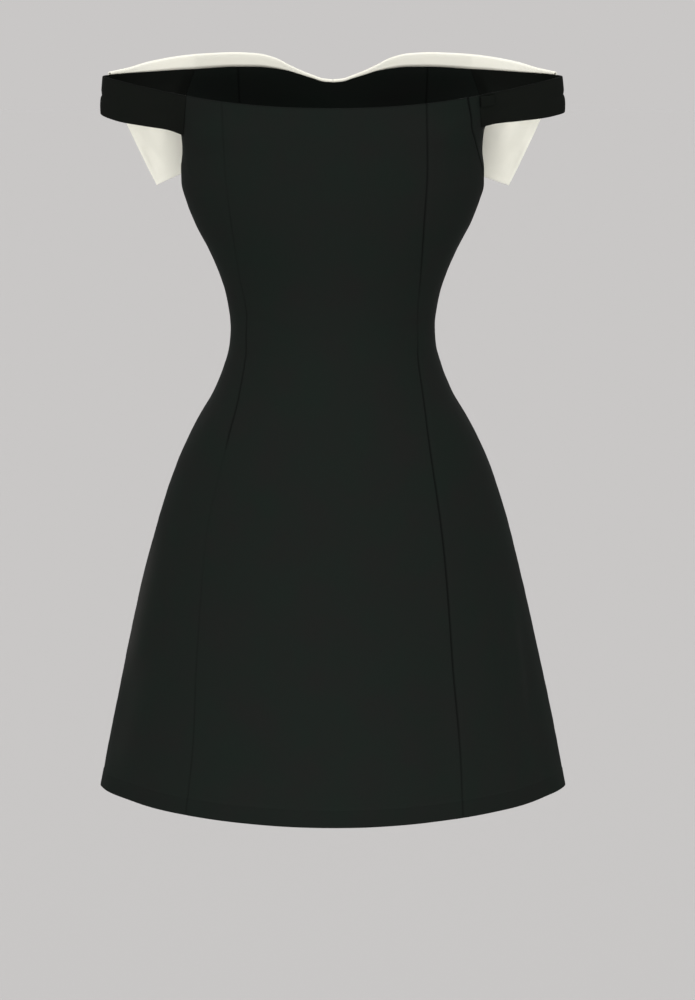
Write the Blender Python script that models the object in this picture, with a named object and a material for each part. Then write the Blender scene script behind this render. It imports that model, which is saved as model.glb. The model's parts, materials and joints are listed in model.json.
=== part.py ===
"""Off-the-shoulder mini dress with a turned-down collar, hollow, as it hangs on its wearer.

Metres, +Z up. The origin is the middle of the waist, where the wearer holds the dress.
The front faces -Y and the back +Y. The wearer's left is +X.

A place on the dress is given by an angle round it and a height. The angle is 0 at the
centre back, +90 degrees at the wearer's left side, 180 at the centre front and -90 at
the right side. The panels are cut from that one surface, and the bands, the collar, the
zip and its tab start from the panels' own points.
"""

from collections import namedtuple

import bmesh
import bpy
import numpy as np

# Cloth
CLOTH = 0.0016  # wall of the dress's panels
BAND_CLOTH = 0.0024  # the arm bands are doubled cloth
COLLAR_CLOTH = 0.0015
TRIM_CLOTH = 0.0011
SEAM_GAP = 0.0003  # air between neighbouring pieces

# Level cross-sections of the dress. The half width is to the sides, the depths are to
# the back and the front. A round of 1 is an ellipse, below 1 the section is boxier, and
# above 1 its sides run to a point.
Section = namedtuple(
    "Section", "height half_width back_depth front_depth back_round front_round"
)
SECTIONS = (
    Section(0.286, 0.1920, 0.0940, 0.0960, 1.10, 0.90),
    Section(0.264, 0.1900, 0.0945, 0.0990, 1.08, 0.88),
    Section(0.242, 0.1840, 0.0950, 0.1035, 1.00, 0.76),
    Section(0.2255, 0.1720, 0.0952, 0.1070, 0.92, 0.68),
    Section(0.204, 0.1570, 0.0950, 0.1100, 0.70, 0.72),
    Section(0.184, 0.1556, 0.0945, 0.1120, 0.80, 0.80),
    Section(0.165, 0.1575, 0.0940, 0.1130, 0.88, 0.86),
    Section(0.150, 0.1572, 0.0930, 0.1120, 0.92, 0.90),
    Section(0.132, 0.1526, 0.0915, 0.1095, 0.95, 0.94),
    Section(0.107, 0.1429, 0.0880, 0.1040, 0.98, 0.98),
    Section(0.082, 0.1298, 0.0840, 0.0970, 1.00, 1.00),
    Section(0.057, 0.1188, 0.0795, 0.0905, 1.00, 1.00),
    Section(0.032, 0.1110, 0.0760, 0.0860, 1.00, 1.00),
    Section(0.000, 0.1068, 0.0745, 0.0835, 1.00, 1.00),
    Section(-0.019, 0.1082, 0.0760, 0.0840, 1.00, 1.00),
    Section(-0.044, 0.1152, 0.0810, 0.0865, 1.00, 1.00),
    Section(-0.070, 0.1260, 0.0875, 0.0900, 1.00, 1.00),
    Section(-0.095, 0.1408, 0.0945, 0.0945, 1.00, 1.00),
    Section(-0.121, 0.1543, 0.1010, 0.0990, 1.02, 1.02),
    Section(-0.147, 0.1656, 0.1065, 0.1030, 1.04, 1.04),
    Section(-0.198, 0.1829, 0.1150, 0.1105, 1.08, 1.08),
    Section(-0.250, 0.1963, 0.1225, 0.1180, 1.14, 1.12),
    Section(-0.329, 0.2148, 0.1330, 0.1285, 1.23, 1.20),
    Section(-0.408, 0.2322, 0.1440, 0.1390, 1.32, 1.28),
    Section(-0.502, 0.2512, 0.1575, 0.1510, 1.43, 1.38),
)

# Bust fullness, shaped by the front princess seams
CUP_DEPTH = 0.012
CUP_ACROSS = 0.084
CUP_HEIGHT = 0.166
CUP_WIDTH = 0.040
CUP_RISE = 0.050

# Distance of the princess seams from the centre line. The back has slid round towards
# the left by the turn.
Seams = namedtuple("Seams", "height back back_turn front")
SEAMS = (
    Seams(0.264, 0.1040, 0.0083, 0.1010),
    Seams(0.240, 0.1039, 0.0081, 0.1005),
    Seams(0.174, 0.1033, 0.0063, 0.0935),
    Seams(0.113, 0.0988, 0.0047, 0.0870),
    Seams(0.058, 0.0936, 0.0024, 0.0815),
    Seams(0.015, 0.0887, 0.0004, 0.0780),
    Seams(-0.016, 0.0890, 0.0007, 0.0780),
    Seams(-0.068, 0.0959, 0.0014, 0.0830),
    Seams(-0.107, 0.1034, 0.0040, 0.0900),
    Seams(-0.217, 0.1233, 0.0085, 0.1080),
    Seams(-0.329, 0.1323, 0.0083, 0.1200),
    Seams(-0.427, 0.1391, 0.0062, 0.1290),
    Seams(-0.502, 0.1448, 0.0087, 0.1340),
)

# Angle of the zip, which closes the right side and swings to the back under the arm
Zip = namedtuple("Zip", "height angle")
ZIP_LINE = (
    Zip(0.264, -46.5),
    Zip(0.242, -48.6),
    Zip(0.2255, -55.0),
    Zip(0.204, -66.5),
    Zip(0.166, -79.0),
    Zip(0.130, -87.5),
    Zip(0.090, -90.0),
    Zip(-0.502, -90.0),
)
ZIP_HALF_WIDTH = 0.008

# Neckline: height of the dress's own edge and of the collar's fold above it, at a
# distance from the centre line
Neckline = namedtuple("Neckline", "across edge fold")
FRONT_NECKLINE = (
    Neckline(0.000, 0.2498, 0.2528),
    Neckline(0.010, 0.2506, 0.2538),
    Neckline(0.021, 0.2540, 0.2574),
    Neckline(0.035, 0.2583, 0.2630),
    Neckline(0.046, 0.2617, 0.2682),
    Neckline(0.062, 0.2648, 0.2762),
    Neckline(0.080, 0.2666, 0.2806),
    Neckline(0.105, 0.2668, 0.2820),
    Neckline(0.140, 0.2652, 0.2808),
    Neckline(0.158, 0.2640, 0.2792),
    Neckline(0.193, 0.2620, 0.2731),
    Neckline(0.215, 0.2607, 0.2668),
    Neckline(0.240, 0.2598, 0.2618),
)
BACK_NECK_CENTRE = 0.2312
BACK_NECK_RISE = 0.0115  # from the centre back to where a band is sewn on
BACK_NECK_CURVE = 2.2
BACK_NECK_END = 0.153  # across, where it is highest
BACK_ROOT_LOW = 0.153  # across, where a band leaves the back, at its low edge
BACK_ROOT_TOP = 0.1490
FRONT_ROOT_LOW = 0.160  # across, where it is sewn to the front, at its low edge
FRONT_ROOT_TOP = 0.146
ROOT_RISE = 0.040  # height over which those seams slant in
UNDERARM_DIP = 0.004

HEM = -0.500
HEM_SIDE_RISE = 0.0028
HEM_TURN_UP = 0.018
HEM_FOLD = 0.0012  # height over which the turned-up layer ends
HEM_CLOTH = 0.0026  # the wall where the hem is turned up

# The band is set a little lower at the left back than at the right back, and the
# collar's edge curves a little more on the left.
Side = namedtuple("Side", "name sign back_low front_low edge_curve")
LEFT = Side("left", 1, 0.2000, 0.2255, 0.875)
RIGHT = Side("right", -1, 0.2085, 0.2255, 1.03)

# Route of a band round the arm, from the back to the front: distance from the centre
# line, depth and height of its top edge, then of its low edge, whose height is a share
# of the way from the back's end to the front's.
Route = namedtuple("Route", "across depth height low_across low_depth low_share")
BAND_ROUTE = (
    Route(0.1700, 0.0455, 0.2455, 0.1700, 0.0345, 0.24),
    Route(0.1940, 0.0345, 0.2502, 0.1945, 0.0285, 0.38),
    Route(0.2220, 0.0155, 0.2562, 0.2230, 0.0130, 0.55),
    Route(0.2390, -0.0130, 0.2598, 0.2415, -0.0130, 0.80),
    Route(0.2250, -0.0420, 0.2606, 0.2265, -0.0390, 0.93),
    Route(0.1950, -0.0580, 0.2620, 0.1955, -0.0520, 1.00),
)

# Collar: a stand, a fold and a fall that is deepest at its points, under the arms
FOLD_GAP = 0.0010  # radius of the air inside the fold
COLLAR_CENTRE = (0.012, 0.205)  # across and height of its low corner at the front
COLLAR_POINT = (0.187, 0.1425)  # across and height of its point
COLLAR_END_CURVE = 1.25
COLLAR_REACH = 9  # columns of the band that it covers
COLLAR_LIFT = 0.0032  # how much farther off the dress its edge hangs
COLLAR_BLEND = 0.004

# Tab over the top of the zip, in columns and rows of the right band
TAB_COLUMNS = (0.0, 0.85, 1.5)
TAB_ROWS = (2.0, 2.92)
TAB_LIFTS = (0.0005, 0.0007, 0.0018)

# Faces
SKIRT_TOP = -0.170
SKIRT_ROWS = 9
BODICE_ROWS = 18
NECK_ROWS = 3
CENTRE_BACK_COLUMNS = 12
CENTRE_FRONT_COLUMNS = 14
FRONT_NECK_COLUMNS = 3  # of a side panel, between the band and the princess seam
BAND_COLUMNS = 22
BAND_ROWS = 3
FOLD_STEPS = 4
FALL_STEPS = 7
CREASE = np.radians(40)

BLACK = ("black_cloth", (0.0140, 0.0152, 0.0140), 0.85)
IVORY = ("ivory_cloth", (0.780, 0.765, 0.680), 0.75)
ZIP_TAPE = ("zip_tape", (0.0100, 0.0105, 0.0100), 0.70)


def cubic(knots, values, at):
    """A smooth curve through values at rising knots, which doesn't overshoot them: each
    knot's slope is the harmonic mean of its two neighbouring rises, or level at a turn."""
    step = np.diff(knots)
    rise = np.diff(values) / step
    product = rise[:-1] * rise[1:]
    turning = product <= 0
    total = np.where(turning, 1, rise[:-1] + rise[1:])
    inner = np.where(turning, 0, 2 * product / total)
    slope = np.concatenate([rise[:1], inner, rise[-1:]])
    at = np.clip(at, knots[0], knots[-1])
    i = np.clip(np.searchsorted(knots, at) - 1, 0, len(knots) - 2)
    t = (at - knots[i]) / step[i]
    ends = values[i] * (1 + 2 * t) * (1 - t) ** 2 + values[i + 1] * t * t * (3 - 2 * t)
    return ends + step[i] * t * (1 - t) * (slope[i] * (1 - t) - slope[i + 1] * t)


def read(table, name, at):
    """A column of a table, where the table's first column has the value at."""
    rows = sorted(table)
    knots = np.array([row[0] for row in rows])
    values = np.array([getattr(row, name) for row in rows])
    return cubic(knots, values, np.asarray(at, dtype=float))


def cup(across, height):
    """How far the bust stands out of the front, as a round hump on each side."""
    aside = (np.abs(across) - CUP_ACROSS) / CUP_WIDTH
    above = (height - CUP_HEIGHT) / CUP_RISE
    return CUP_DEPTH * np.exp(-(aside**2 + above**2) / 2)


def surface(angle, height):
    """Points of the dress's outer surface. The distance across is the half width times
    the angle's sine, and the depth is the back's or front's depth times a power of its
    cosine, with the cups added in front."""
    angle, height = np.broadcast_arrays(np.radians(angle), height)
    across = read(SECTIONS, "half_width", height) * np.sin(angle)
    cosine = np.cos(angle)
    size = np.maximum(np.abs(cosine), 1e-9)
    back_round = read(SECTIONS, "back_round", height)
    front_round = read(SECTIONS, "front_round", height)
    back = read(SECTIONS, "back_depth", height) * size**back_round
    front = read(SECTIONS, "front_depth", height) * size**front_round
    fade = np.clip(-3 * cosine, 0, 1)
    depth = np.where(cosine >= 0, back, -front - cup(across, height) * fade)
    return np.stack([across, depth, height], axis=-1)


def outward(angle, height):
    """Unit normals of the surface, across its directions round and up the dress."""
    turn, rise = 0.5, 0.002
    round_it = surface(angle + turn, height) - surface(angle - turn, height)
    up_it = surface(angle, height + rise) - surface(angle, height - rise)
    normal = np.cross(up_it, round_it)
    return normal / np.linalg.norm(normal, axis=-1, keepdims=True)


def angle_at(across, height, front):
    """The angle at which the surface is that far from the centre line."""
    share = across / read(SECTIONS, "half_width", height)
    angle = np.degrees(np.arcsin(np.clip(share, -1, 1)))
    return np.sign(across) * 180 - angle if front else angle


def back_neck(angle, height):
    """Height of the neckline across the back, lowest at the centre."""
    across = np.abs(surface(angle, height)[..., 0])
    share = np.minimum(across / BACK_NECK_END, 1)
    return BACK_NECK_CENTRE + BACK_NECK_RISE * share**BACK_NECK_CURVE


def front_neck(angle, height):
    """Height of the neckline across the front, with its notch at the centre."""
    across = np.abs(surface(angle, height)[..., 0])
    return read(FRONT_NECKLINE, "edge", across)


class Line:
    """A line up the dress, such as a seam: an angle for each height."""

    def __init__(self, angle_of, shift=0.0):
        self.angle_of = angle_of
        self.shift = shift

    def beside(self, distance):
        """The edge of a piece beside this line, which still faces as the line does."""
        return Line(self.angle_of, distance)

    def moved(self, distance):
        """Another line, parallel to this one and some way round the dress."""
        return Line(self.beside(distance).angles)

    def towards(self, other, share):
        """A line that lies a share of the way from this one to another."""

        def angle_of(height):
            return self.angles(height) * (1 - share) + other.angles(height) * share

        return Line(angle_of)

    def angles(self, height):
        """Angles of the line at some heights."""
        angle = self.angle_of(height)
        step = 0.5
        reach = surface(angle + step, height) - surface(angle - step, height)
        return angle + self.shift * 2 * step / np.linalg.norm(reach, axis=-1)

    def facing(self, height):
        """Unit normals along the line."""
        return outward(self.angle_of(height), height)

    def meets(self, edge, start):
        """Height at which the line reaches an edge, found from a height near it."""
        height = np.array(start)
        for _ in range(8):
            height = edge(self.angles(height), height)
        return float(height)


def back_princess(side):
    """The seam from the back neckline to the hem, on one side of the centre."""

    def angle_of(height):
        seam = side.sign * read(SEAMS, "back", height)
        return angle_at(seam + read(SEAMS, "back_turn", height), height, False)

    return Line(angle_of)


def front_princess(side, turns=0):
    """The seam from the front neckline over the bust to the hem."""

    def angle_of(height):
        seam = side.sign * read(SEAMS, "front", height)
        return 360 * turns + angle_at(seam, height, True)

    return Line(angle_of)


def zip_angle(height):
    """Angle of the zip on the right side."""
    return read(ZIP_LINE, "angle", height)


def side_seam(side):
    """The seam down the side, straight on the left and along the zip on the right."""
    if side is RIGHT:
        return Line(zip_angle)
    return Line(lambda height: 90 + 0 * height)


def back_root(side):
    """The line where a band is sewn to the back, slanting in towards the neckline, and
    carried on down beside the seam."""

    def angle_of(height):
        held = np.maximum(height, side.back_low)
        share = np.clip((held - side.back_low) / ROOT_RISE, 0, 1)
        across = BACK_ROOT_LOW + (BACK_ROOT_TOP - BACK_ROOT_LOW) * share
        angle = angle_at(side.sign * across, held, False)
        if side is RIGHT:
            angle = angle + zip_angle(height) - zip_angle(held)
        return angle

    return Line(angle_of)


def front_root(side):
    """The line where a band is sewn to the front, slanting in towards the neckline."""

    def angle_of(height):
        held = np.maximum(height, side.front_low)
        share = np.clip((held - side.front_low) / ROOT_RISE, 0, 1)
        across = FRONT_ROOT_LOW + (FRONT_ROOT_TOP - FRONT_ROOT_LOW) * share
        return angle_at(side.sign * across, held, True)

    return Line(angle_of)


def underarm(angle, height):
    """Height of the armholes' low edges, and of a line between them across the back and
    the front. It depends on the angle alone."""
    knots, heights = [], []
    for side in (RIGHT, LEFT):
        roots = ((back_root(side), side.back_low), (front_root(side), side.front_low))
        for root, low in roots[:: side.sign]:
            knots.append(float(root.angles(np.array(low))))
            heights.append(low)
    height = np.interp(angle, knots, heights) + 0 * height
    for first, last in ((0, 1), (2, 3)):
        share = np.clip((angle - knots[first]) / (knots[last] - knots[first]), 0, 1)
        height = height - UNDERARM_DIP * np.sin(np.pi * share)
    return height - SEAM_GAP


def hem_edge(angle, height):
    """Height of the hem, a little higher at the sides. It depends on the angle alone."""
    return HEM + HEM_SIDE_RISE * np.sin(np.radians(angle)) ** 2 + 0 * height


def column_heights(line, neck):
    """Heights of a panel's rows up one line: the hem, the skirt, the bodice, and from
    the underarm to the neckline. A line with no neckline stops at the underarm."""
    hem = line.meets(hem_edge, HEM)
    under = line.meets(underarm, LEFT.back_low)
    top = line.meets(neck, LEFT.front_low) if neck else under
    skirt_start = hem + HEM_TURN_UP + HEM_FOLD
    return np.concatenate(
        [
            [hem, hem + HEM_TURN_UP],
            np.linspace(skirt_start, SKIRT_TOP, SKIRT_ROWS + 1)[:-1],
            np.linspace(SKIRT_TOP, under, BODICE_ROWS + 1),
            np.linspace(under, top, NECK_ROWS + 1)[1:],
        ]
    )


def make_material(name, colour, roughness):
    """A plain cloth finish, shared by the pieces cut from that cloth."""
    if name in bpy.data.materials:
        return bpy.data.materials[name]
    made = bpy.data.materials.new(name)
    made.use_nodes = True
    shader = made.node_tree.nodes["Principled BSDF"]
    shader.inputs["Base Color"].default_value = (*colour, 1)
    shader.inputs["Roughness"].default_value = roughness
    shader.inputs["Metallic"].default_value = 0.0
    made.diffuse_color = (*colour, 1)
    return made


def add_wall(name, outer, inner, finish, cells=None):
    """Closes two grids of points into one wall. Every kept cell is two triangles on each
    side, split the same way in all pieces so that layers stay parallel, and there is a
    rim face wherever a kept cell has no neighbour."""
    rows, columns = outer.shape[0] - 1, outer.shape[1] - 1
    if cells is None:
        cells = np.ones((rows, columns), dtype=bool)
    mesh = bmesh.new()
    made = {}

    def corner(layer, row, column):
        key = (layer, row, column)
        if key not in made:
            grid = outer if layer else inner
            made[key] = mesh.verts.new(grid[row, column])
        return made[key]

    def kept(row, column):
        return 0 <= row < rows and 0 <= column < columns and cells[row, column]

    for row, col in zip(*np.nonzero(cells)):
        ring = ((row, col), (row, col + 1), (row + 1, col + 1), (row + 1, col))
        beyond = ((row - 1, col), (row, col + 1), (row + 1, col), (row, col - 1))
        for half in (ring[:3], (ring[0], ring[2], ring[3])):
            mesh.faces.new([corner(1, *at) for at in half])
            mesh.faces.new([corner(0, *at) for at in reversed(half)])
        for i, neighbour in enumerate(beyond):
            if not kept(*neighbour):
                a, b = ring[i], ring[(i + 1) % 4]
                rim = (corner(1, *b), corner(1, *a), corner(0, *a), corner(0, *b))
                mesh.faces.new(rim)
    bmesh.ops.recalc_face_normals(mesh, faces=mesh.faces)
    data = bpy.data.meshes.new(name)
    mesh.to_mesh(data)
    mesh.free()
    data.shade_smooth()
    data.set_sharp_from_angle(angle=CREASE)
    data.materials.append(make_material(*finish))
    bpy.context.scene.collection.objects.link(bpy.data.objects.new(name, data))


# Part of a panel between two lines, in equal columns. It reaches a neckline, or stops
# under the arm where it has none.
Span = namedtuple("Span", "first last columns neck")


class Panel:
    """A panel of the dress, from the hem up, between its seams."""

    def __init__(self, name, spans):
        lines, necks, tall = [spans[0].first], [spans[0].neck], []
        for span in spans:
            necks[-1] = necks[-1] or span.neck
            for i in range(1, span.columns):
                lines.append(span.first.towards(span.last, i / span.columns))
            lines.append(span.last)
            necks += [span.neck] * span.columns
            tall += [span.neck is not None] * span.columns
        self.name = name
        heights = [column_heights(line, neck) for line, neck in zip(lines, necks)]
        columns = list(zip(lines, heights))
        self.outer = np.stack([surface(line.angles(up), up) for line, up in columns], 1)
        self.normals = np.stack([line.facing(up) for line, up in columns], 1)
        self.tall = np.array(tall)

    def build(self):
        """Makes the wall, thicker where the hem is turned up inside."""
        wall = np.full(self.outer.shape[:2], CLOTH)
        wall[:2] = HEM_CLOTH
        cells = np.ones((wall.shape[0] - 1, wall.shape[1] - 1), dtype=bool)
        cells[-NECK_ROWS:, ~self.tall] = False
        inner = self.outer - self.normals * wall[..., None]
        add_wall(self.name, self.outer, inner, BLACK, cells)


def grid_normals(grid, sign):
    """Unit normals of a grid of points, across its rows and columns."""
    normal = sign * np.cross(np.gradient(grid, axis=0), np.gradient(grid, axis=1))
    return normal / np.linalg.norm(normal, axis=-1, keepdims=True)


def through(points, count):
    """A smooth curve through points, as evenly spaced points."""
    points = np.array(points)
    steps = np.linalg.norm(np.diff(points, axis=0), axis=1)
    run = np.concatenate([[0], np.cumsum(steps)])
    at = np.linspace(0, run[-1], count)
    return np.stack([cubic(run, points[:, i], at) for i in range(3)], axis=1)


class Band:
    """The band round an arm, sewn to the back at one end and the front at the other."""

    def __init__(self, side):
        self.side = side
        roots = (
            back_root(side).beside(side.sign * SEAM_GAP),
            front_root(side).beside(-side.sign * SEAM_GAP),
        )
        lows = (side.back_low, side.front_low)
        tops = (roots[0].meets(back_neck, lows[0]), roots[1].meets(front_neck, lows[1]))
        rise = side.front_low - side.back_low
        low_route, top_route = [], []
        for row in BAND_ROUTE:
            low = side.back_low + rise * row.low_share
            low_route.append((side.sign * row.low_across, row.low_depth, low))
            top_route.append((side.sign * row.across, row.depth, row.height))
        edges = []
        for levels, route in ((lows, low_route), (tops, top_route)):
            ends = [
                surface(root.angles(np.array(level)), np.array(level))
                for root, level in zip(roots, levels)
            ]
            edges.append(through([ends[0], *route, ends[1]], BAND_COLUMNS + 1))
        share = np.linspace(0, 1, BAND_ROWS + 1)[:, None, None]
        self.outer = edges[0] * (1 - share) + edges[1] * share
        self.normals = grid_normals(self.outer, side.sign)
        for column, root, low, top in zip((0, -1), roots, lows, tops):
            heights = np.linspace(low, top, BAND_ROWS + 1)
            self.outer[:, column] = surface(root.angles(heights), heights)
            self.normals[:, column] = root.facing(heights)

    def build(self):
        """Makes the wall."""
        inner = self.outer - self.normals * BAND_CLOTH
        add_wall(f"band_{self.side.name}", self.outer, inner, BLACK)

    def at(self, row, column):
        """A point and a normal of the band between its rows and columns."""
        low, first = int(row), int(column)
        up, over = row - low, column - first
        found = []
        for grid in (self.outer, self.normals):
            near, far = grid[low : low + 2, first : first + 2]
            pair = near * (1 - up) + far * up
            found.append(pair[0] * (1 - over) + pair[1] * over)
        return found


def smooth_larger(first, second):
    """The larger of two depths, rounded where they cross."""
    apart = np.sqrt((first - second) ** 2 + COLLAR_BLEND**2)
    return (first + second + apart) / 2


def build_collar(side, centre, front, band):
    """One side of the collar. Its stand rises from the top edge of the front and the
    band, it folds over outwards, and its fall lies over the bust and the arm."""
    half = centre.outer.shape[1] // 2
    strips = (
        (centre, slice(half, None, -side.sign)),
        (front, slice(-2, -2 - FRONT_NECK_COLUMNS, -1)),
        (band, slice(-2, -2 - COLLAR_REACH, -1)),
    )
    mirror = np.array([side.sign, 1, 1])
    base = np.concatenate([piece.outer[-1, part] for piece, part in strips]) * mirror
    lean = np.concatenate([piece.normals[-1, part] for piece, part in strips]) * mirror
    base[0, 0] = SEAM_GAP / 2
    out = lean * (1, 1, 0)
    out /= np.linalg.norm(out, axis=1, keepdims=True)
    up = np.array([0, 0, 1])

    low = base + up * SEAM_GAP
    turn = low.copy()
    turn[:, 2] = read(FRONT_NECKLINE, "fold", base[:, 0]) - FOLD_GAP - COLLAR_CLOTH
    turn[:, 2] = np.maximum(turn[:, 2], low[:, 2] + SEAM_GAP)
    upper, under = [low - lean * COLLAR_CLOTH], [low]
    middle = turn + out * FOLD_GAP
    for theta in np.linspace(np.pi, 0, FOLD_STEPS + 1):
        ray = np.cos(theta) * out + np.sin(theta) * up
        upper.append(middle + ray * (FOLD_GAP + COLLAR_CLOTH))
        under.append(middle + ray * FOLD_GAP)

    start = (upper[-1] + under[-1]) / 2
    along = start[:, 0] / start[-1, 0]
    edge_across = COLLAR_CENTRE[0] + (COLLAR_POINT[0] - COLLAR_CENTRE[0]) * along
    edge_rise = (COLLAR_CENTRE[1] - COLLAR_POINT[1]) * (1 - along) ** side.edge_curve
    edge_height = COLLAR_POINT[1] + edge_rise
    clear = 2 * FOLD_GAP + COLLAR_CLOTH / 2
    fall = [start]
    for down in np.linspace(0, 1, FALL_STEPS + 1)[1:]:
        across = start[:, 0] + (edge_across - start[:, 0]) * down**COLLAR_END_CURVE
        height = start[:, 2] + (edge_height - start[:, 2]) * down
        body = -surface(angle_at(across, height, True), height)[:, 1]
        carried = np.interp(across, start[:, 0], -start[:, 1])
        depth = smooth_larger(body + clear, carried) + COLLAR_LIFT * down
        near = (1 - down) ** 4
        depth = -start[:, 1] * near + depth * (1 - near)
        fall.append(np.stack([across, -depth, height], axis=1))
    fall = np.array(fall)
    away = grid_normals(fall, 1)[1:] * COLLAR_CLOTH / 2
    upper = np.concatenate([upper, fall[1:] + away]) * mirror
    under = np.concatenate([under, fall[1:] - away]) * mirror
    add_wall(f"collar_{side.name}", upper, under, IVORY)


def build_zip(back, front):
    """The zip and its tapes, flat inside the right side from the hip to the neckline."""
    first = 2 + SKIRT_ROWS
    middle = (back.outer[first:, -1] + front.outer[first:, 0]) / 2
    points = np.stack([back.outer[first:, -2], middle, front.outer[first:, 1]], axis=1)
    normals = np.stack(
        [back.normals[first:, -2], back.normals[first:, -1], front.normals[first:, 1]],
        axis=1,
    )
    near = CLOTH + SEAM_GAP
    far = near + TRIM_CLOTH
    add_wall("side_zip", points - normals * near, points - normals * far, ZIP_TAPE)


def build_zip_tab(band):
    """The small cloth tab over the top of the zip, sewn down at one end."""
    places = [[band.at(row, column) for column in TAB_COLUMNS] for row in TAB_ROWS]
    points = np.array([[place[0] for place in row] for row in places])
    normals = np.array([[place[1] for place in row] for row in places])
    low = points + normals * np.array(TAB_LIFTS)[None, :, None]
    add_wall("zip_tab", low + normals * TRIM_CLOTH, low, BLACK)


def main():
    """Removes what the scene holds and builds the dress piece by piece."""
    for old in list(bpy.data.objects):
        bpy.data.objects.remove(old)

    gap = SEAM_GAP / 2
    backs, fronts, bands = {}, {}, {}
    for side in (LEFT, RIGHT):
        away, tape = side.sign * gap, side.sign * ZIP_HALF_WIDTH
        seam, princess = side_seam(side), back_princess(side).beside(away)
        if side is RIGHT:
            back_spans = [
                Span(princess, seam.moved(-tape), 6, back_neck),
                Span(seam.moved(-tape), seam.beside(-away), 1, back_neck),
            ]
            beside_zip = [
                Span(seam.beside(away), seam.moved(tape), 1, back_neck),
                Span(seam.moved(tape), back_root(side), 1, back_neck),
            ]
            under_arm = back_root(side)
        else:
            back_spans = [
                Span(princess, back_root(side), 5, back_neck),
                Span(back_root(side), seam.beside(-away), 2, None),
            ]
            beside_zip = []
            under_arm = seam.beside(away)
        last = front_princess(side).beside(-away)
        front_spans = [
            *beside_zip,
            Span(under_arm, front_root(side), 5, None),
            Span(front_root(side), last, FRONT_NECK_COLUMNS, front_neck),
        ]
        backs[side] = Panel(f"back_side_{side.name}", back_spans)
        fronts[side] = Panel(f"front_side_{side.name}", front_spans)
        bands[side] = Band(side)

    first, last = back_princess(RIGHT).beside(gap), back_princess(LEFT).beside(-gap)
    back_span = Span(first, last, CENTRE_BACK_COLUMNS, back_neck)
    first = front_princess(LEFT).beside(gap)
    last = front_princess(RIGHT, 1).beside(-gap)
    front_span = Span(first, last, CENTRE_FRONT_COLUMNS, front_neck)
    back_centre = Panel("back_centre", [back_span])
    front_centre = Panel("front_centre", [front_span])
    for panel in (back_centre, front_centre, *backs.values(), *fronts.values()):
        panel.build()
    for side in (LEFT, RIGHT):
        bands[side].build()
        build_collar(side, front_centre, fronts[side], bands[side])
    build_zip(backs[RIGHT], fronts[RIGHT])
    build_zip_tab(bands[RIGHT])


main()
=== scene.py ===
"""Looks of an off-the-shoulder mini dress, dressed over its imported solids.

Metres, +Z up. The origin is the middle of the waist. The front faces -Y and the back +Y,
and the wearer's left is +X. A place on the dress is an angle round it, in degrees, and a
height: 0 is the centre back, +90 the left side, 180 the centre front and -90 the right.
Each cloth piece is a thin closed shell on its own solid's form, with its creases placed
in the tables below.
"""

import json
import logging
from dataclasses import dataclass, field
from enum import Enum
from typing import Callable, NamedTuple, Optional, Sequence

import bpy
import numpy as np
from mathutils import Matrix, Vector

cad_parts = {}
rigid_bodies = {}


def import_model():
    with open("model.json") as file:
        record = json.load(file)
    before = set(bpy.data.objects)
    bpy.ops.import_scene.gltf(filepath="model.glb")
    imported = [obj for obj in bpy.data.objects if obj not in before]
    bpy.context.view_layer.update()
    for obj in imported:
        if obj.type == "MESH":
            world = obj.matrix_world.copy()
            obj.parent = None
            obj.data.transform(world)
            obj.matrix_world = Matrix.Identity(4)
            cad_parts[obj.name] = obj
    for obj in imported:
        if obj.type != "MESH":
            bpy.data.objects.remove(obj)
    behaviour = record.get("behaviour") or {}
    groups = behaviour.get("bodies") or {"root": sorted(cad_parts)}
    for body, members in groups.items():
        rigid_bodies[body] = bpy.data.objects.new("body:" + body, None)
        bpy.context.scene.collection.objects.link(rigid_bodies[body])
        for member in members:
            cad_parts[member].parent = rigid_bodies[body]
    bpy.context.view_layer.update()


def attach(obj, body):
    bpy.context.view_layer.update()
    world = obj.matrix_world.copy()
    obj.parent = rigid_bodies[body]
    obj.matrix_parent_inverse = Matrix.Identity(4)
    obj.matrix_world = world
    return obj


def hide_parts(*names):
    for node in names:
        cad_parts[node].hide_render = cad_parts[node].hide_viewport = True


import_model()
LOG = logging.getLogger("mini_dress")

Array = np.ndarray
EdgeOf = Callable[[Array, Array], Array]


class Section(NamedTuple):
    """A level cross-section of the dress. A round of 1 is an ellipse, below 1 is
    boxier, and above 1 runs to a point at the sides."""

    height: float
    half_width: float
    back_depth: float
    front_depth: float
    back_round: float
    front_round: float


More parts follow.
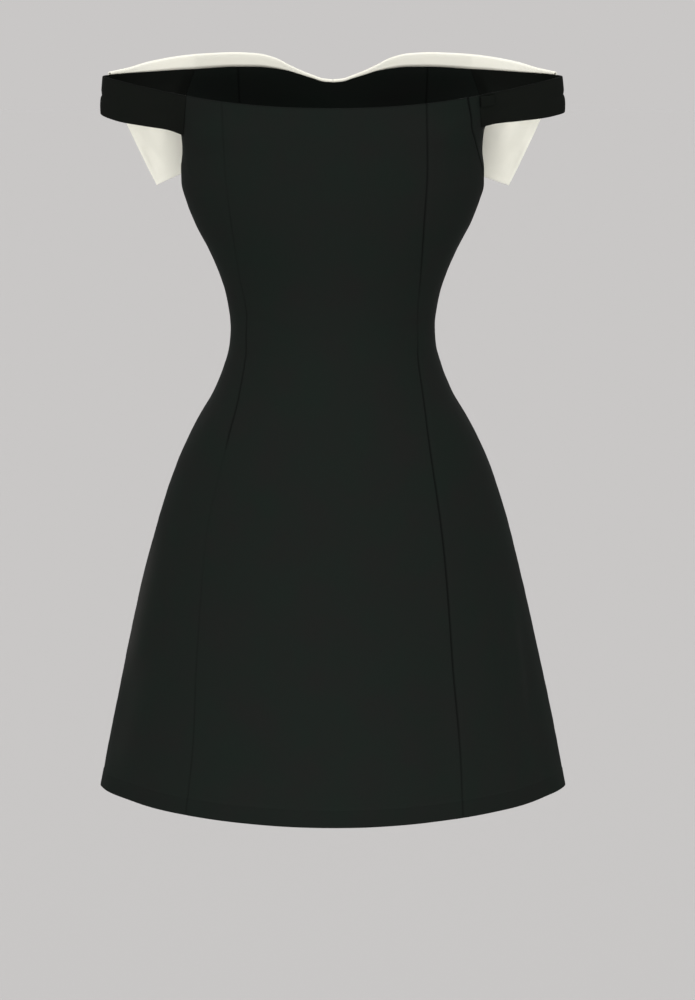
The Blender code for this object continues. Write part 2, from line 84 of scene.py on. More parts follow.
SECTIONS = (
    Section(0.286, 0.1920, 0.0940, 0.0960, 1.10, 0.90),
    Section(0.264, 0.1900, 0.0945, 0.0990, 1.08, 0.88),
    Section(0.242, 0.1840, 0.0950, 0.1035, 1.00, 0.76),
    Section(0.2255, 0.1720, 0.0952, 0.1070, 0.92, 0.68),
    Section(0.204, 0.1570, 0.0950, 0.1100, 0.70, 0.72),
    Section(0.184, 0.1556, 0.0945, 0.1120, 0.80, 0.80),
    Section(0.165, 0.1575, 0.0940, 0.1130, 0.88, 0.86),
    Section(0.150, 0.1572, 0.0930, 0.1120, 0.92, 0.90),
    Section(0.132, 0.1526, 0.0915, 0.1095, 0.95, 0.94),
    Section(0.107, 0.1429, 0.0880, 0.1040, 0.98, 0.98),
    Section(0.082, 0.1298, 0.0840, 0.0970, 1.00, 1.00),
    Section(0.057, 0.1188, 0.0795, 0.0905, 1.00, 1.00),
    Section(0.032, 0.1110, 0.0760, 0.0860, 1.00, 1.00),
    Section(0.000, 0.1068, 0.0745, 0.0835, 1.00, 1.00),
    Section(-0.019, 0.1082, 0.0760, 0.0840, 1.00, 1.00),
    Section(-0.044, 0.1152, 0.0810, 0.0865, 1.00, 1.00),
    Section(-0.070, 0.1260, 0.0875, 0.0900, 1.00, 1.00),
    Section(-0.095, 0.1408, 0.0945, 0.0945, 1.00, 1.00),
    Section(-0.121, 0.1543, 0.1010, 0.0990, 1.02, 1.02),
    Section(-0.147, 0.1656, 0.1065, 0.1030, 1.04, 1.04),
    Section(-0.198, 0.1829, 0.1150, 0.1105, 1.08, 1.08),
    Section(-0.250, 0.1963, 0.1225, 0.1180, 1.14, 1.12),
    Section(-0.329, 0.2148, 0.1330, 0.1285, 1.23, 1.20),
    Section(-0.408, 0.2322, 0.1440, 0.1390, 1.32, 1.28),
    Section(-0.502, 0.2512, 0.1575, 0.1510, 1.43, 1.38),
)


class SeamPlace(NamedTuple):
    """Distance of the princess seams from the centre line at a height. The back has
    slid round towards the left by the turn."""

    height: float
    back: float
    back_turn: float
    front: float


SEAM_PLACES = (
    SeamPlace(0.264, 0.1040, 0.0083, 0.1010),
    SeamPlace(0.240, 0.1039, 0.0081, 0.1005),
    SeamPlace(0.174, 0.1033, 0.0063, 0.0935),
    SeamPlace(0.113, 0.0988, 0.0047, 0.0870),
    SeamPlace(0.058, 0.0936, 0.0024, 0.0815),
    SeamPlace(0.015, 0.0887, 0.0004, 0.0780),
    SeamPlace(-0.016, 0.0890, 0.0007, 0.0780),
    SeamPlace(-0.068, 0.0959, 0.0014, 0.0830),
    SeamPlace(-0.107, 0.1034, 0.0040, 0.0900),
    SeamPlace(-0.217, 0.1233, 0.0085, 0.1080),
    SeamPlace(-0.329, 0.1323, 0.0083, 0.1200),
    SeamPlace(-0.427, 0.1391, 0.0062, 0.1290),
    SeamPlace(-0.502, 0.1448, 0.0087, 0.1340),
)


class ZipPlace(NamedTuple):
    """Angle of the zip at a height. It closes the right side and swings to the back
    under the arm."""

    height: float
    angle: float


ZIP_PLACES = (
    ZipPlace(0.264, -46.5),
    ZipPlace(0.242, -48.6),
    ZipPlace(0.2255, -55.0),
    ZipPlace(0.204, -66.5),
    ZipPlace(0.166, -79.0),
    ZipPlace(0.130, -87.5),
    ZipPlace(0.090, -90.0),
    ZipPlace(-0.502, -90.0),
)


class NeckPlace(NamedTuple):
    """Height of the front's own top edge and of the collar's fold above it, at a
    distance from the centre line."""

    across: float
    edge: float
    fold: float


NECK_PLACES = (
    NeckPlace(0.000, 0.2498, 0.2528),
    NeckPlace(0.010, 0.2506, 0.2538),
    NeckPlace(0.021, 0.2540, 0.2574),
    NeckPlace(0.035, 0.2583, 0.2630),
    NeckPlace(0.046, 0.2617, 0.2682),
    NeckPlace(0.062, 0.2648, 0.2762),
    NeckPlace(0.080, 0.2666, 0.2806),
    NeckPlace(0.105, 0.2668, 0.2820),
    NeckPlace(0.140, 0.2652, 0.2808),
    NeckPlace(0.158, 0.2640, 0.2792),
    NeckPlace(0.193, 0.2620, 0.2731),
    NeckPlace(0.215, 0.2607, 0.2668),
    NeckPlace(0.240, 0.2598, 0.2618),
)


class BandPlace(NamedTuple):
    """A band's route round the arm: distance from the centre line, depth and height of
    its top edge, then of its low edge, whose height is a share of the way from the
    back's end to the front's."""

    across: float
    depth: float
    height: float
    low_across: float
    low_depth: float
    low_share: float


BAND_PLACES = (
    BandPlace(0.1700, 0.0455, 0.2455, 0.1700, 0.0345, 0.24),
    BandPlace(0.1940, 0.0345, 0.2502, 0.1945, 0.0285, 0.38),
    BandPlace(0.2220, 0.0155, 0.2562, 0.2230, 0.0130, 0.55),
    BandPlace(0.2390, -0.0130, 0.2598, 0.2415, -0.0130, 0.80),
    BandPlace(0.2250, -0.0420, 0.2606, 0.2265, -0.0390, 0.93),
    BandPlace(0.1950, -0.0580, 0.2620, 0.1955, -0.0520, 1.00),
)


@dataclass(frozen=True)
class WearerSide:
    """What differs between the wearer's two sides."""

    name: str
    sign: int
    back_low: float
    front_low: float
    collar_curve: float


class Side(Enum):
    """The wearer's two sides."""

    LEFT = WearerSide("left", 1, 0.2000, 0.2255, 0.875)
    RIGHT = WearerSide("right", -1, 0.2085, 0.2255, 1.03)


# Cloth
CLOTH = 0.0016
BAND_CLOTH = 0.0024
COLLAR_CLOTH = 0.0015
TAPE_CLOTH = 0.0006
SEAM_GAP = 0.0003
SEAM_TUCK = 0.0002  # how far a band's ends reach into their seams
SEAM_INSIDE = 0.4  # how much of a seam's fall shows on the inside
EDGE_SHADE = 0.40  # how much painted shade darkens a folded edge, and over what width
EDGE_SHADE_WIDTH = 0.0010

# Edges of the dress
BACK_NECK_CENTRE = 0.2312
BACK_NECK_RISE = 0.0115
BACK_NECK_CURVE = 2.2
BACK_NECK_END = 0.153
BACK_ROOT_LOW = 0.153
BACK_ROOT_TOP = 0.149
FRONT_ROOT_LOW = 0.160
FRONT_ROOT_TOP = 0.146
ROOT_RISE = 0.040
UNDERARM_DIP = 0.004
HEM = -0.500
HEM_SIDE_RISE = 0.0028
HEM_TURN_UP = 0.018
HEM_CLOTH = 0.0026
ZIP_FOOT = -0.170

# Heights near an edge, from which the place where a line meets it is found in rounds
NEAR_UNDERARM = 0.20
NEAR_NECK = 0.24
NEAR_FRONT_NECK = 0.26
MEET_ROUNDS = 8

# Distances from an edge at which a shell has its fine rows and columns
EDGE_STEPS = (0.0, 0.00012, 0.00035, 0.0007, 0.0012, 0.0019, 0.0030, 0.0047)
FOLD_LINE_STEPS = (0.0, 0.0006, 0.0013, 0.0024)
TAPE_STEPS = (0.0, 0.0003, 0.0008)
ARC_SAMPLES = 48
ROUTE_POINTS = 441
RIM_ROUND = 0.92  # how much of its full round an edge has

# Degrees round the dress and metres up it, over which the surface's slope is measured
TURN_STEP = 0.5
RISE_STEP = 0.002

# Creases and unevenness
END_FADE = 0.35  # the share of a crease over which it runs out
BELL_REACH = 3  # how many widths from its path a crease still shows
RIPPLE_WAVES = 4
RIPPLE_LENGTHS = (0.6, 1.9)  # shares of the usual wavelength
DRIFT_SEED = 41
DRIFT_WAVES = 5
DRIFT_LENGTHS = (0.060, 0.150)


def cubic(knots: Array, values: Array, at: Array) -> Array:
    """A smooth curve through values at rising knots that doesn't overshoot them. Each
    knot's slope is the harmonic mean of its two neighbouring rises, or level at a turn.

    Args:
        knots: rising places.
        values: the curve's values there.
        at: places to read, held between the first and the last knot.

    Returns:
        The curve's values at those places.
    """
    step = np.diff(knots)
    rise = np.diff(values) / step
    product = rise[:-1] * rise[1:]
    turning = product <= 0
    total = np.where(turning, 1, rise[:-1] + rise[1:])
    inner = np.where(turning, 0, 2 * product / total)
    slope = np.concatenate([rise[:1], inner, rise[-1:]])
    at = np.clip(at, knots[0], knots[-1])
    i = np.clip(np.searchsorted(knots, at) - 1, 0, len(knots) - 2)
    t = (at - knots[i]) / step[i]
    ends = values[i] * (1 + 2 * t) * (1 - t) ** 2 + values[i + 1] * t * t * (3 - 2 * t)
    return ends + step[i] * t * (1 - t) * (slope[i] * (1 - t) - slope[i + 1] * t)


def read(table: Sequence[NamedTuple], name: str, at: Array) -> Array:
    """Reads a column of a table whose first column has the value at.

    Args:
        table: rows with named columns.
        name: the column to read.
        at: values of the first column.

    Returns:
        The column's values there, on a smooth curve.
    """
    rows = sorted(table)
    knots = np.array([row[0] for row in rows])
    values = np.array([getattr(row, name) for row in rows])
    return cubic(knots, values, np.asarray(at, dtype=float))


def ease(share: Array) -> Array:
    """Goes smoothly from 0 to 1 as the share does."""
    share = np.clip(share, 0, 1)
    return share * share * (3 - 2 * share)


def bell(distance: Array, width: float) -> Array:
    """A bell curve, 1 at no distance and 0.37 at the width."""
    return np.exp(-((distance / width) ** 2))


def unit(vectors: Array) -> Array:
    """The vectors at length 1."""
    return vectors / np.maximum(np.linalg.norm(vectors, axis=-1, keepdims=True), 1e-12)


def ripple(along: Array, wavelength: float, seed: int) -> Array:
    """An uneven wave from -1 to 1: four sines, whose lengths and starts come from the
    seed.

    Args:
        along: distances in metres.
        wavelength: the usual length of a wave.
        seed: which wave.

    Returns:
        The wave's height at those distances.
    """
    dice = np.random.default_rng(seed)
    wave = np.zeros_like(along, dtype=float)
    for _ in range(RIPPLE_WAVES):
        length = wavelength * dice.uniform(*RIPPLE_LENGTHS)
        wave += np.sin(2 * np.pi * (along / length + dice.uniform()))
    return wave / RIPPLE_WAVES


def spread(length: Array, count: int, first: Sequence[float], last: Sequence[float]) -> Array:
    """Places along strips: fixed fine steps from each end, and even steps between.

    Args:
        length: the length of each strip.
        count: how many even steps each has.
        first: distances of the fine steps from the start, rising from 0.
        last: distances of the fine steps from the end, rising from 0.

    Returns:
        Distances from the start, one row for each place and a column for each strip.
    """
    start = np.array(first)[:, None] + 0 * length
    end = length - np.array(last)[::-1, None]
    share = np.linspace(0, 1, count + 1)[1:-1, None]
    middle = start[-1] * (1 - share) + end[0] * share
    return np.concatenate([start, middle, end])


def grid_normals(grid: Array, sign: float) -> Array:
    """Unit normals of a grid of points, across its rows and columns."""
    return unit(sign * np.cross(np.gradient(grid, axis=0), np.gradient(grid, axis=1)))


def lengths_along(grid: Array, axis: int) -> Array:
    """Distance of each point of a grid from its first row or column, along the grid.

    Args:
        grid: the points, with a last axis of three.
        axis: 0 to measure from the first row, and 1 from the first column.

    Returns:
        A distance for each point.
    """
    steps = np.linalg.norm(np.diff(grid, axis=axis), axis=-1)
    zeros = np.zeros_like(steps.take([0], axis=axis))
    return np.concatenate([zeros, np.cumsum(steps, axis=axis)], axis=axis)


def through(points: Sequence[Array], count: int) -> Array:
    """A smooth curve through points, as evenly spaced points.

    Args:
        points: the points on the way.
        count: how many points the curve gets.

    Returns:
        The curve's points, one in each row.
    """
    route = np.array(points)
    run = lengths_along(route, 0)
    at = np.linspace(0, run[-1], count)
    return np.stack([cubic(run, route[:, i], at) for i in range(3)], axis=1)


@dataclass(frozen=True)
class Form:
    """The dress's outer surface, the same as its solids have."""

    cup_depth: float = 0.012
    cup_across: float = 0.084
    cup_height: float = 0.166
    cup_width: float = 0.040
    cup_rise: float = 0.050
    cup_edge: float = 3.0

    def cup(self, across: Array, height: Array) -> Array:
        """How far the bust stands out of the front, as a round hump on each side.

        Args:
            across: distances from the centre line.
            height: heights.

        Returns:
            A depth for each place.
        """
        aside = (np.abs(across) - self.cup_across) / self.cup_width
        above = (height - self.cup_height) / self.cup_rise
        return self.cup_depth * np.exp(-(aside**2 + above**2) / 2)

    def surface(self, angle: Array, height: Array) -> Array:
        """Points of the surface. The distance across is the half width times the
        angle's sine, and the depth is the back's or the front's depth times a power of
        its cosine, with the cups added in front.

        Args:
            angle: angles round the dress, in degrees.
            height: heights, in metres.

        Returns:
            The points, with a last axis of three.
        """
        angle, height = np.broadcast_arrays(np.radians(angle), height)
        across = read(SECTIONS, "half_width", height) * np.sin(angle)
        cosine = np.cos(angle)
        size = np.maximum(np.abs(cosine), 1e-9)
        back_round = read(SECTIONS, "back_round", height)
        front_round = read(SECTIONS, "front_round", height)
        back = read(SECTIONS, "back_depth", height) * size**back_round
        front = read(SECTIONS, "front_depth", height) * size**front_round
        fade = np.clip(-self.cup_edge * cosine, 0, 1)
        depth = np.where(cosine >= 0, back, -front - self.cup(across, height) * fade)
        return np.stack([across, depth, height], axis=-1)

    def outward(self, angle: Array, height: Array) -> Array:
        """Unit normals of the surface, across its directions round and up the dress.

        Args:
            angle: angles round the dress, in degrees.
            height: heights, in metres.

        Returns:
            The normals, with a last axis of three.
        """
        above, below = height + RISE_STEP, height - RISE_STEP
        up_it = self.surface(angle, above) - self.surface(angle, below)
        return unit(np.cross(up_it, self.turning(angle, height)))

    def turning(self, angle: Array, height: Array) -> Array:
        """The way from a step before each angle to a step after it."""
        after, before = angle + TURN_STEP, angle - TURN_STEP
        return self.surface(after, height) - self.surface(before, height)

    def angle_at(self, across: Array, height: Array, front: bool) -> Array:
        """The angle at which the surface is that far from the centre line.

        Args:
            across: distances from the centre line, positive on the left.
            height: heights, in metres.
            front: whether the place is on the front.

        Returns:
            The angles, in degrees.
        """
        share = across / read(SECTIONS, "half_width", height)
        angle = np.degrees(np.arcsin(np.clip(share, -1, 1)))
        return np.sign(across) * 180 - angle if front else angle


FORM = Form()


class Line:
    """A line up the dress, such as a seam: an angle for each height."""

    def __init__(self, angle_of: Callable[[Array], Array], shift: Array | float = 0.0) -> None:
        """Holds the line's angle for a height, and how far it is moved round the dress."""
        self.angle_of = angle_of
        self.shift = shift

    def beside(self, distance: Array | float) -> "Line":
        """The line moved round the dress by a distance."""
        return Line(self.angle_of, distance)

    def angles(self, height: Array) -> Array:
        """Angles of the line at some heights."""
        angle = self.angle_of(height)
        reach = np.linalg.norm(FORM.turning(angle, height), axis=-1)
        return angle + self.shift * 2 * TURN_STEP / reach

    def meets(self, edge: EdgeOf, start: float) -> float:
        """Height at which the line reaches an edge.

        Args:
            edge: the edge's height for an angle and a height.
            start: a height near it, from which it is found.

        Returns:
            The height.
        """
        height = np.array(start)
        for _ in range(MEET_ROUNDS):
            height = edge(self.angles(height), height)
        return float(height)


@dataclass(frozen=True)
class Pattern:
    """The dress's seam lines and edges."""

    def back_neck(self, angle: Array, height: Array) -> Array:
        """Height of the neckline across the back, lowest at the centre."""
        across = np.abs(FORM.surface(angle, height)[..., 0])
        share = np.minimum(across / BACK_NECK_END, 1)
        return BACK_NECK_CENTRE + BACK_NECK_RISE * share**BACK_NECK_CURVE

    def front_neck(self, angle: Array, height: Array) -> Array:
        """Height of the neckline across the front, with its notch at the centre."""
        across = np.abs(FORM.surface(angle, height)[..., 0])
        return read(NECK_PLACES, "edge", across)

    def hem_edge(self, angle: Array, height: Array) -> Array:
        """Height of the hem, a little higher at the sides."""
        return HEM + HEM_SIDE_RISE * np.sin(np.radians(angle)) ** 2 + 0 * height

    def back_princess(self, side: Side) -> Line:
        """The seam from the back neckline to the hem.

        Args:
            side: which of the two.

        Returns:
            The line.
        """

        def angle_of(height: Array) -> Array:
            """Angle of the seam at a height."""
            seam = side.value.sign * read(SEAM_PLACES, "back", height)
            turned = seam + read(SEAM_PLACES, "back_turn", height)
            return FORM.angle_at(turned, height, False)

        return Line(angle_of)

    def front_princess(self, side: Side, turns: int = 0) -> Line:
        """The seam from the front neckline over the bust to the hem.

        Args:
            side: which of the two.
            turns: whole turns added to its angle, for a panel that crosses 180.

        Returns:
            The line.
        """

        def angle_of(height: Array) -> Array:
            """Angle of the seam at a height."""
            seam = side.value.sign * read(SEAM_PLACES, "front", height)
            return 360 * turns + FORM.angle_at(seam, height, True)

        return Line(angle_of)

    def side_seam(self, side: Side) -> Line:
        """The seam down the side, straight on the left and along the zip on the right."""
        if side is Side.RIGHT:
            return Line(lambda height: read(ZIP_PLACES, "angle", height))
        return Line(lambda height: 90 + 0 * height)

    def back_root(self, side: Side) -> Line:
        """The line where a band is sewn to the back, slanting in to the neckline and
        carried on down beside the seam.

        Args:
            side: the band's side.

        Returns:
            The line.
        """
        made = side.value

        def angle_of(height: Array) -> Array:
            """Angle of the line at a height."""
            held = np.maximum(height, made.back_low)
            share = np.clip((held - made.back_low) / ROOT_RISE, 0, 1)
            across = BACK_ROOT_LOW + (BACK_ROOT_TOP - BACK_ROOT_LOW) * share
            angle = FORM.angle_at(made.sign * across, held, False)
            if side is Side.RIGHT:
                swing = read(ZIP_PLACES, "angle", height) - read(ZIP_PLACES, "angle", held)
                angle = angle + swing
            return angle

        return Line(angle_of)

    def front_root(self, side: Side) -> Line:
        """The line where a band is sewn to the front, slanting in to the neckline.

        Args:
            side: the band's side.

        Returns:
            The line.
        """
        made = side.value

        def angle_of(height: Array) -> Array:
            """Angle of the line at a height."""
            held = np.maximum(height, made.front_low)
            share = np.clip((held - made.front_low) / ROOT_RISE, 0, 1)
            across = FRONT_ROOT_LOW + (FRONT_ROOT_TOP - FRONT_ROOT_LOW) * share
            return FORM.angle_at(made.sign * across, held, True)

        return Line(angle_of)

    def underarm_knots(self) -> tuple[Array, Array]:
        """Angles and heights of the armholes' four low corners, by rising angle."""
        angles, heights = [], []
        for side in (Side.RIGHT, Side.LEFT):
            made = side.value
            roots = [
                (self.back_root(side), made.back_low),
                (self.front_root(side), made.front_low),
            ]
            for root, low in roots[:: made.sign]:
                angles.append(float(root.angles(np.array(low))))
                heights.append(low)
        return np.array(angles), np.array(heights)

    def underarm(self, angle: Array, height: Array) -> Array:
        """Height of the armholes' low edges, and of a line between them across the back
        and the front.

        Args:
            angle: angles round the dress, in degrees.
            height: heights of the same places, of which only the shape counts.

        Returns:
            The heights.
        """
        knots, heights = self.underarm_knots()
        height = np.interp(angle, knots, heights) + 0 * height
        for first, last in ((0, 1), (2, 3)):
            share = np.clip((angle - knots[first]) / (knots[last] - knots[first]), 0, 1)
            height = height - UNDERARM_DIP * np.sin(np.pi * share)
        return height - SEAM_GAP


PATTERN = Pattern()


class Fade(Enum):
    """How a crease runs out at its ends."""

    BOTH_ENDS = "both"
    FIRST_END = "first"


@dataclass(frozen=True)
class Crease:
    """A soft ridge, or a trough where its lift is negative, along a curve on the dress.
    Its places are an angle and a height, the bow bends its middle aside in degrees, and
    a crease can carry a painted sheen, paler over a share of its width."""

    first: tuple[float, float]
    last: tuple[float, float]
    lift: float
    width: float
    bow: float = 0.0
    fade: Fade = Fade.BOTH_ENDS
    painted_sheen: float = 0.0
    painted_sheen_share: float = 0.7
    steps: int = 20

    def path(self) -> Array:
        """Points of the crease's middle on the dress."""
        share = np.linspace(0, 1, self.steps + 1)
        angle = self.first[0] + (self.last[0] - self.first[0]) * share
        height = self.first[1] + (self.last[1] - self.first[1]) * share
        return FORM.surface(angle + self.bow * np.sin(np.pi * share), height)

    def lifts(self, points: Array) -> Array:
        """How far the crease moves points of the dress outwards: its lift times a bell
        curve of the distance from its path, fading towards its ends.

        Args:
            points: points of the dress, with a last axis of three.

        Returns:
            A distance for each point.
        """
        return raised_along(points, self.path(), self.lift, self.width, self.fade)

    def painted_sheen_at(self, points: Array) -> Array:
        """How much the painted sheen lightens the crease at points of the dress.

        Args:
            points: points of the dress, with a last axis of three.

        Returns:
            A value from 0 to 1 for each point.
        """
        if not self.painted_sheen:
            return np.zeros(points.shape[:-1])
        width = self.width * self.painted_sheen_share
        return raised_along(points, self.path(), self.painted_sheen, width, self.fade)


def raised_along(points: Array, path: Array, lift: float, width: float, fade: Fade) -> Array:
    """A ridge along a path: the lift times a bell curve of the distance from the path,
    fading at its ends.

    Args:
        points: points to raise, with a last axis of two or three.
        path: points along the ridge, with as many axes.
        lift: the height of the ridge.
        width: the width of its bell curve.
        fade: how it runs out.

    Returns:
        How far each point is raised.
    """
    shape = points.shape[:-1]
    flat = points.reshape(-1, points.shape[-1])
    reach = BELL_REACH * width
    low, high = path.min(axis=0) - reach, path.max(axis=0) + reach
    near = np.all((flat > low) & (flat < high), axis=1)
    raised = np.zeros(len(flat))
    if not near.any():
        return raised.reshape(shape)
    close = flat[near]
    best, share = np.full(len(close), np.inf), np.zeros(len(close))
    for i, (start, stop) in enumerate(zip(path[:-1], path[1:])):
        way = stop - start
        t = np.clip((close - start) @ way / (way @ way), 0, 1)
        gap = np.linalg.norm(close - start - t[:, None] * way, axis=1)
        share = np.where(gap < best, (i + t) / (len(path) - 1), share)
        best = np.minimum(best, gap)
    strength = ease(share / END_FADE)
    if fade is Fade.BOTH_ENDS:
        strength = strength * ease((1 - share) / END_FADE)
    raised[near] = lift * bell(best, width) * strength
    return raised.reshape(shape)


# Creases of the dress. Drag lines run in from the sides at the waist and the
# hips, short ones lie under the arms and below the bust, and the skirt hangs in broad
# soft flutes that grow towards the hem.
CREASES = (
    # Back, waist
    Crease((70, 0.022), (28, 0.006), -0.00050, 0.0055, 3),
    Crease((74, 0.004), (38, -0.014), 0.00045, 0.0060, 4),
    Crease((66, -0.020), (36, -0.030), -0.00040, 0.0060, -3),
    Crease((-72, 0.014), (-30, 0.001), -0.00050, 0.0055, -4),
    Crease((-70, -0.008), (-42, -0.020), 0.00040, 0.0055, 3),
    Crease((-76, 0.040), (-44, 0.036), 0.00035, 0.0070, -3),
    Crease((20, 0.030), (-22, 0.024), -0.00030, 0.0090, 2),
    Crease((16, -0.012), (-12, -0.016), 0.00028, 0.0080, -2),
    # Back, under the arms
    Crease((76, 0.196), (58, 0.168), -0.00060, 0.0050, -4),
    Crease((80, 0.186), (66, 0.150), 0.00050, 0.0055, -3),
    Crease((-70, 0.190), (-50, 0.160), -0.00045, 0.0060, 4),
    Crease((-62, 0.226), (-42, 0.190), 0.00035, 0.0070, 3),
    Crease((40, 0.214), (6, 0.204), -0.00025, 0.0100, 4),
    # Back, hips and seat
    Crease((72, -0.086), (44, -0.120), 0.00050, 0.0100, 5),
    Crease((-74, -0.078), (-50, -0.124), 0.00045, 0.0100, -5),
    Crease((30, -0.070), (8, -0.104), -0.00035, 0.0120, -4),
    # Back, skirt flutes
    # Three of these flutes carry a painted sheen that lightens their colour.
    Crease((82, -0.200), (79, -0.395), 0.0014, 0.0230, 0, painted_sheen=0.85),
    Crease((68, -0.330), (73, -0.495), 0.0006, 0.0260, 0, painted_sheen=0.14),
    Crease((66, -0.226), (52, -0.385), -0.0012, 0.0090, 0),
    Crease((-62, -0.262), (-53, -0.410), -0.0016, 0.0080, 0),
    Crease((-70, -0.270), (-62, -0.420), 0.0012, 0.0070, 0, painted_sheen=0.08),
    Crease((76, -0.190), (74, -0.505), 0.0012, 0.0170, 2, Fade.FIRST_END),
    Crease((63, -0.260), (60, -0.505), -0.0014, 0.0200, -2, Fade.FIRST_END),
    Crease((47, -0.300), (46, -0.505), 0.0012, 0.0260, 2, Fade.FIRST_END),
    Crease((18, -0.280), (20, -0.505), -0.0011, 0.0300, 3, Fade.FIRST_END),
    Crease((-6, -0.330), (-8, -0.505), 0.0010, 0.0280, 2, Fade.FIRST_END),
    Crease((-28, -0.290), (-27, -0.505), -0.0012, 0.0240, -2, Fade.FIRST_END),
    Crease((-50, -0.270), (-51, -0.505), 0.0013, 0.0230, 2, Fade.FIRST_END),
    Crease((-67, -0.230), (-66, -0.505), -0.0015, 0.0170, 2, Fade.FIRST_END),
    # Front, bust and midriff
    Crease((118, 0.196), (136, 0.176), -0.00055, 0.0060, 3),
    Crease((112, 0.168), (130, 0.152), 0.00050, 0.0065, -3),
    Crease((-116, 0.194), (-134, 0.178), -0.00060, 0.0060, -3),
    Crease((-110, 0.160), (-127, 0.150), 0.00045, 0.0065, 3),
    Crease((140, 0.118), (116, 0.092), -0.00050, 0.0070, 4),
    Crease((-142, 0.112), (-118, 0.090), -0.00045, 0.0075, -4),
    Crease((166, 0.232), (196, 0.214), -0.00035, 0.0090, 5),
    Crease((150, 0.208), (176, 0.186), 0.00030, 0.0100, 4),
    # Front, waist and hips
    Crease((108, 0.018), (146, 0.004), -0.00050, 0.0060, 3),
    Crease((106, -0.004), (140, -0.018), 0.00045, 0.0060, -3),
    Crease((-110, 0.022), (-148, 0.010), -0.00050, 0.0060, -3),
    Crease((-106, -0.010), (-136, -0.024), 0.00045, 0.0065, 3),
    Crease((164, 0.026), (204, 0.022), -0.00028, 0.0090, 3),
    Crease((112, -0.084), (138, -0.122), 0.00045, 0.0110, -4),
    Crease((-114, -0.090), (-140, -0.118), 0.00045, 0.0110, 4),
    # Front, skirt flutes
    Crease((104, -0.210), (106, -0.505), 0.0016, 0.0180, 2, Fade.FIRST_END),
    Crease((118, -0.250), (121, -0.505), -0.0015, 0.0210, 2, Fade.FIRST_END),
    Crease((136, -0.290), (135, -0.505), 0.0013, 0.0250, -2, Fade.FIRST_END),
    Crease((158, -0.260), (160, -0.505), -0.0012, 0.0280, 2, Fade.FIRST_END),
    Crease((182, -0.310), (184, -0.505), 0.0013, 0.0290, 2, Fade.FIRST_END),
    Crease((-156, -0.280), (-157, -0.505), -0.0011, 0.0260, 2, Fade.FIRST_END),
    Crease((-134, -0.300), (-132, -0.505), 0.0014, 0.0240, 2, Fade.FIRST_END),
    Crease((-118, -0.240), (-116, -0.505), -0.0014, 0.0200, 2, Fade.FIRST_END),
    Crease((-103, -0.220), (-103, -0.505), 0.0015, 0.0170, 2, Fade.FIRST_END),
)


class Shown(NamedTuple):
    """How clearly a seam shows at a height."""

    height: float
    strength: float


@dataclass(frozen=True)
class Sewn:
    """How a sewn edge of a piece looks: it turns down into the seam, its pressed
    allowances show as a faint ridge beside it, it puckers a little, and shade is painted along it."""

    seed: int
    depth: float = 0.0008
    width: float = 0.0017
    press: float = 0.00022
    press_at: float = 0.0065
    press_width: float = 0.004
    pucker: float = 0.00016
    pucker_reach: float = 0.011
    pucker_length: float = 0.021
    # strength and width of the shade painted along the seam
    dark: float = 0.75
    dark_width: float = 0.0011
    shown: tuple[Shown, ...] = (Shown(0.0, 1.0),)

    def strength(self, height: Array) -> Array:
        """How clearly the seam shows at a height."""
        heights, strengths = np.array(self.shown).T
        return np.interp(height, heights, strengths)

    def lifts(self, distance: Array, height: Array) -> Array:
        """How far the cloth stands out beside the seam.

        Args:
            distance: distances from the seam.
            height: heights of the same places.

        Returns:
            A distance for each place, negative where it falls in.
        """
        strength = self.strength(height)
        fall = -self.depth * (1 - ease(distance / self.width)) * strength
        ridge = self.press * bell(distance - self.press_at, self.press_width)
        wave = self.pucker * ripple(height, self.pucker_length, self.seed)
        return fall + ridge * strength + wave * strength * bell(distance, self.pucker_reach)

    def shades(self, distance: Array, height: Array) -> Array:
        """How much shade is painted in the seam's groove at a distance from it, from 0 to 1."""
        return self.dark * bell(distance, self.dark_width) * self.strength(height)


@dataclass(frozen=True)
class Zipped(Sewn):
    """A zipped edge: above the zip's foot its rolled edge stands up as a fine ridge."""

    roll: float = 0.00050
    roll_at: float = 0.0027
    roll_width: float = 0.0013
    roll_start: float = 0.01

    def lifts(self, distance: Array, height: Array) -> Array:
        """How far the cloth stands out beside the zip.

        Args:
            distance: distances from the zip's middle.
            height: heights of the same places.

        Returns:
            A distance for each place, negative where it falls in.
        """
        zipped = ease((height - ZIP_FOOT) / self.roll_start)
        roll = self.roll * bell(distance - self.roll_at, self.roll_width) * zipped
        return super().lifts(distance, height) + roll


BACK_LEFT_SHOWN = (
    Shown(-0.380, 0.36),
    Shown(-0.300, 0.26),
    Shown(-0.240, 0.14),
    Shown(-0.125, 0.14),
    Shown(-0.108, 0.85),
    Shown(-0.010, 0.70),
    Shown(0.030, 0.45),
    Shown(0.060, 0.20),
    Shown(0.110, 0.32),
    Shown(0.150, 0.16),
    Shown(0.200, 0.26),
)
BACK_RIGHT_SHOWN = (
    Shown(-0.480, 0.55),
    Shown(-0.400, 0.85),
    Shown(-0.270, 1.00),
    Shown(-0.030, 0.90),
    Shown(-0.010, 0.40),
    Shown(0.030, 0.38),
    Shown(0.080, 0.90),
    Shown(0.200, 0.70),
)
BACK_LEFT_SEAM = Sewn(3, dark=0.75, shown=BACK_LEFT_SHOWN)
BACK_RIGHT_SEAM = Sewn(5, depth=0.0009, dark=0.72, shown=BACK_RIGHT_SHOWN)
FRONT_LEFT_SEAM = Sewn(7, dark=0.60)
FRONT_RIGHT_SEAM = Sewn(11, dark=0.60)
LEFT_SIDE_SEAM = Sewn(13, dark=0.55)
RIGHT_SIDE_SEAM = Zipped(17, depth=0.0010, dark=0.80)
ROOT_SEAM = Sewn(19, depth=0.0002, width=0.0010, press=0.0001, dark=0.12)


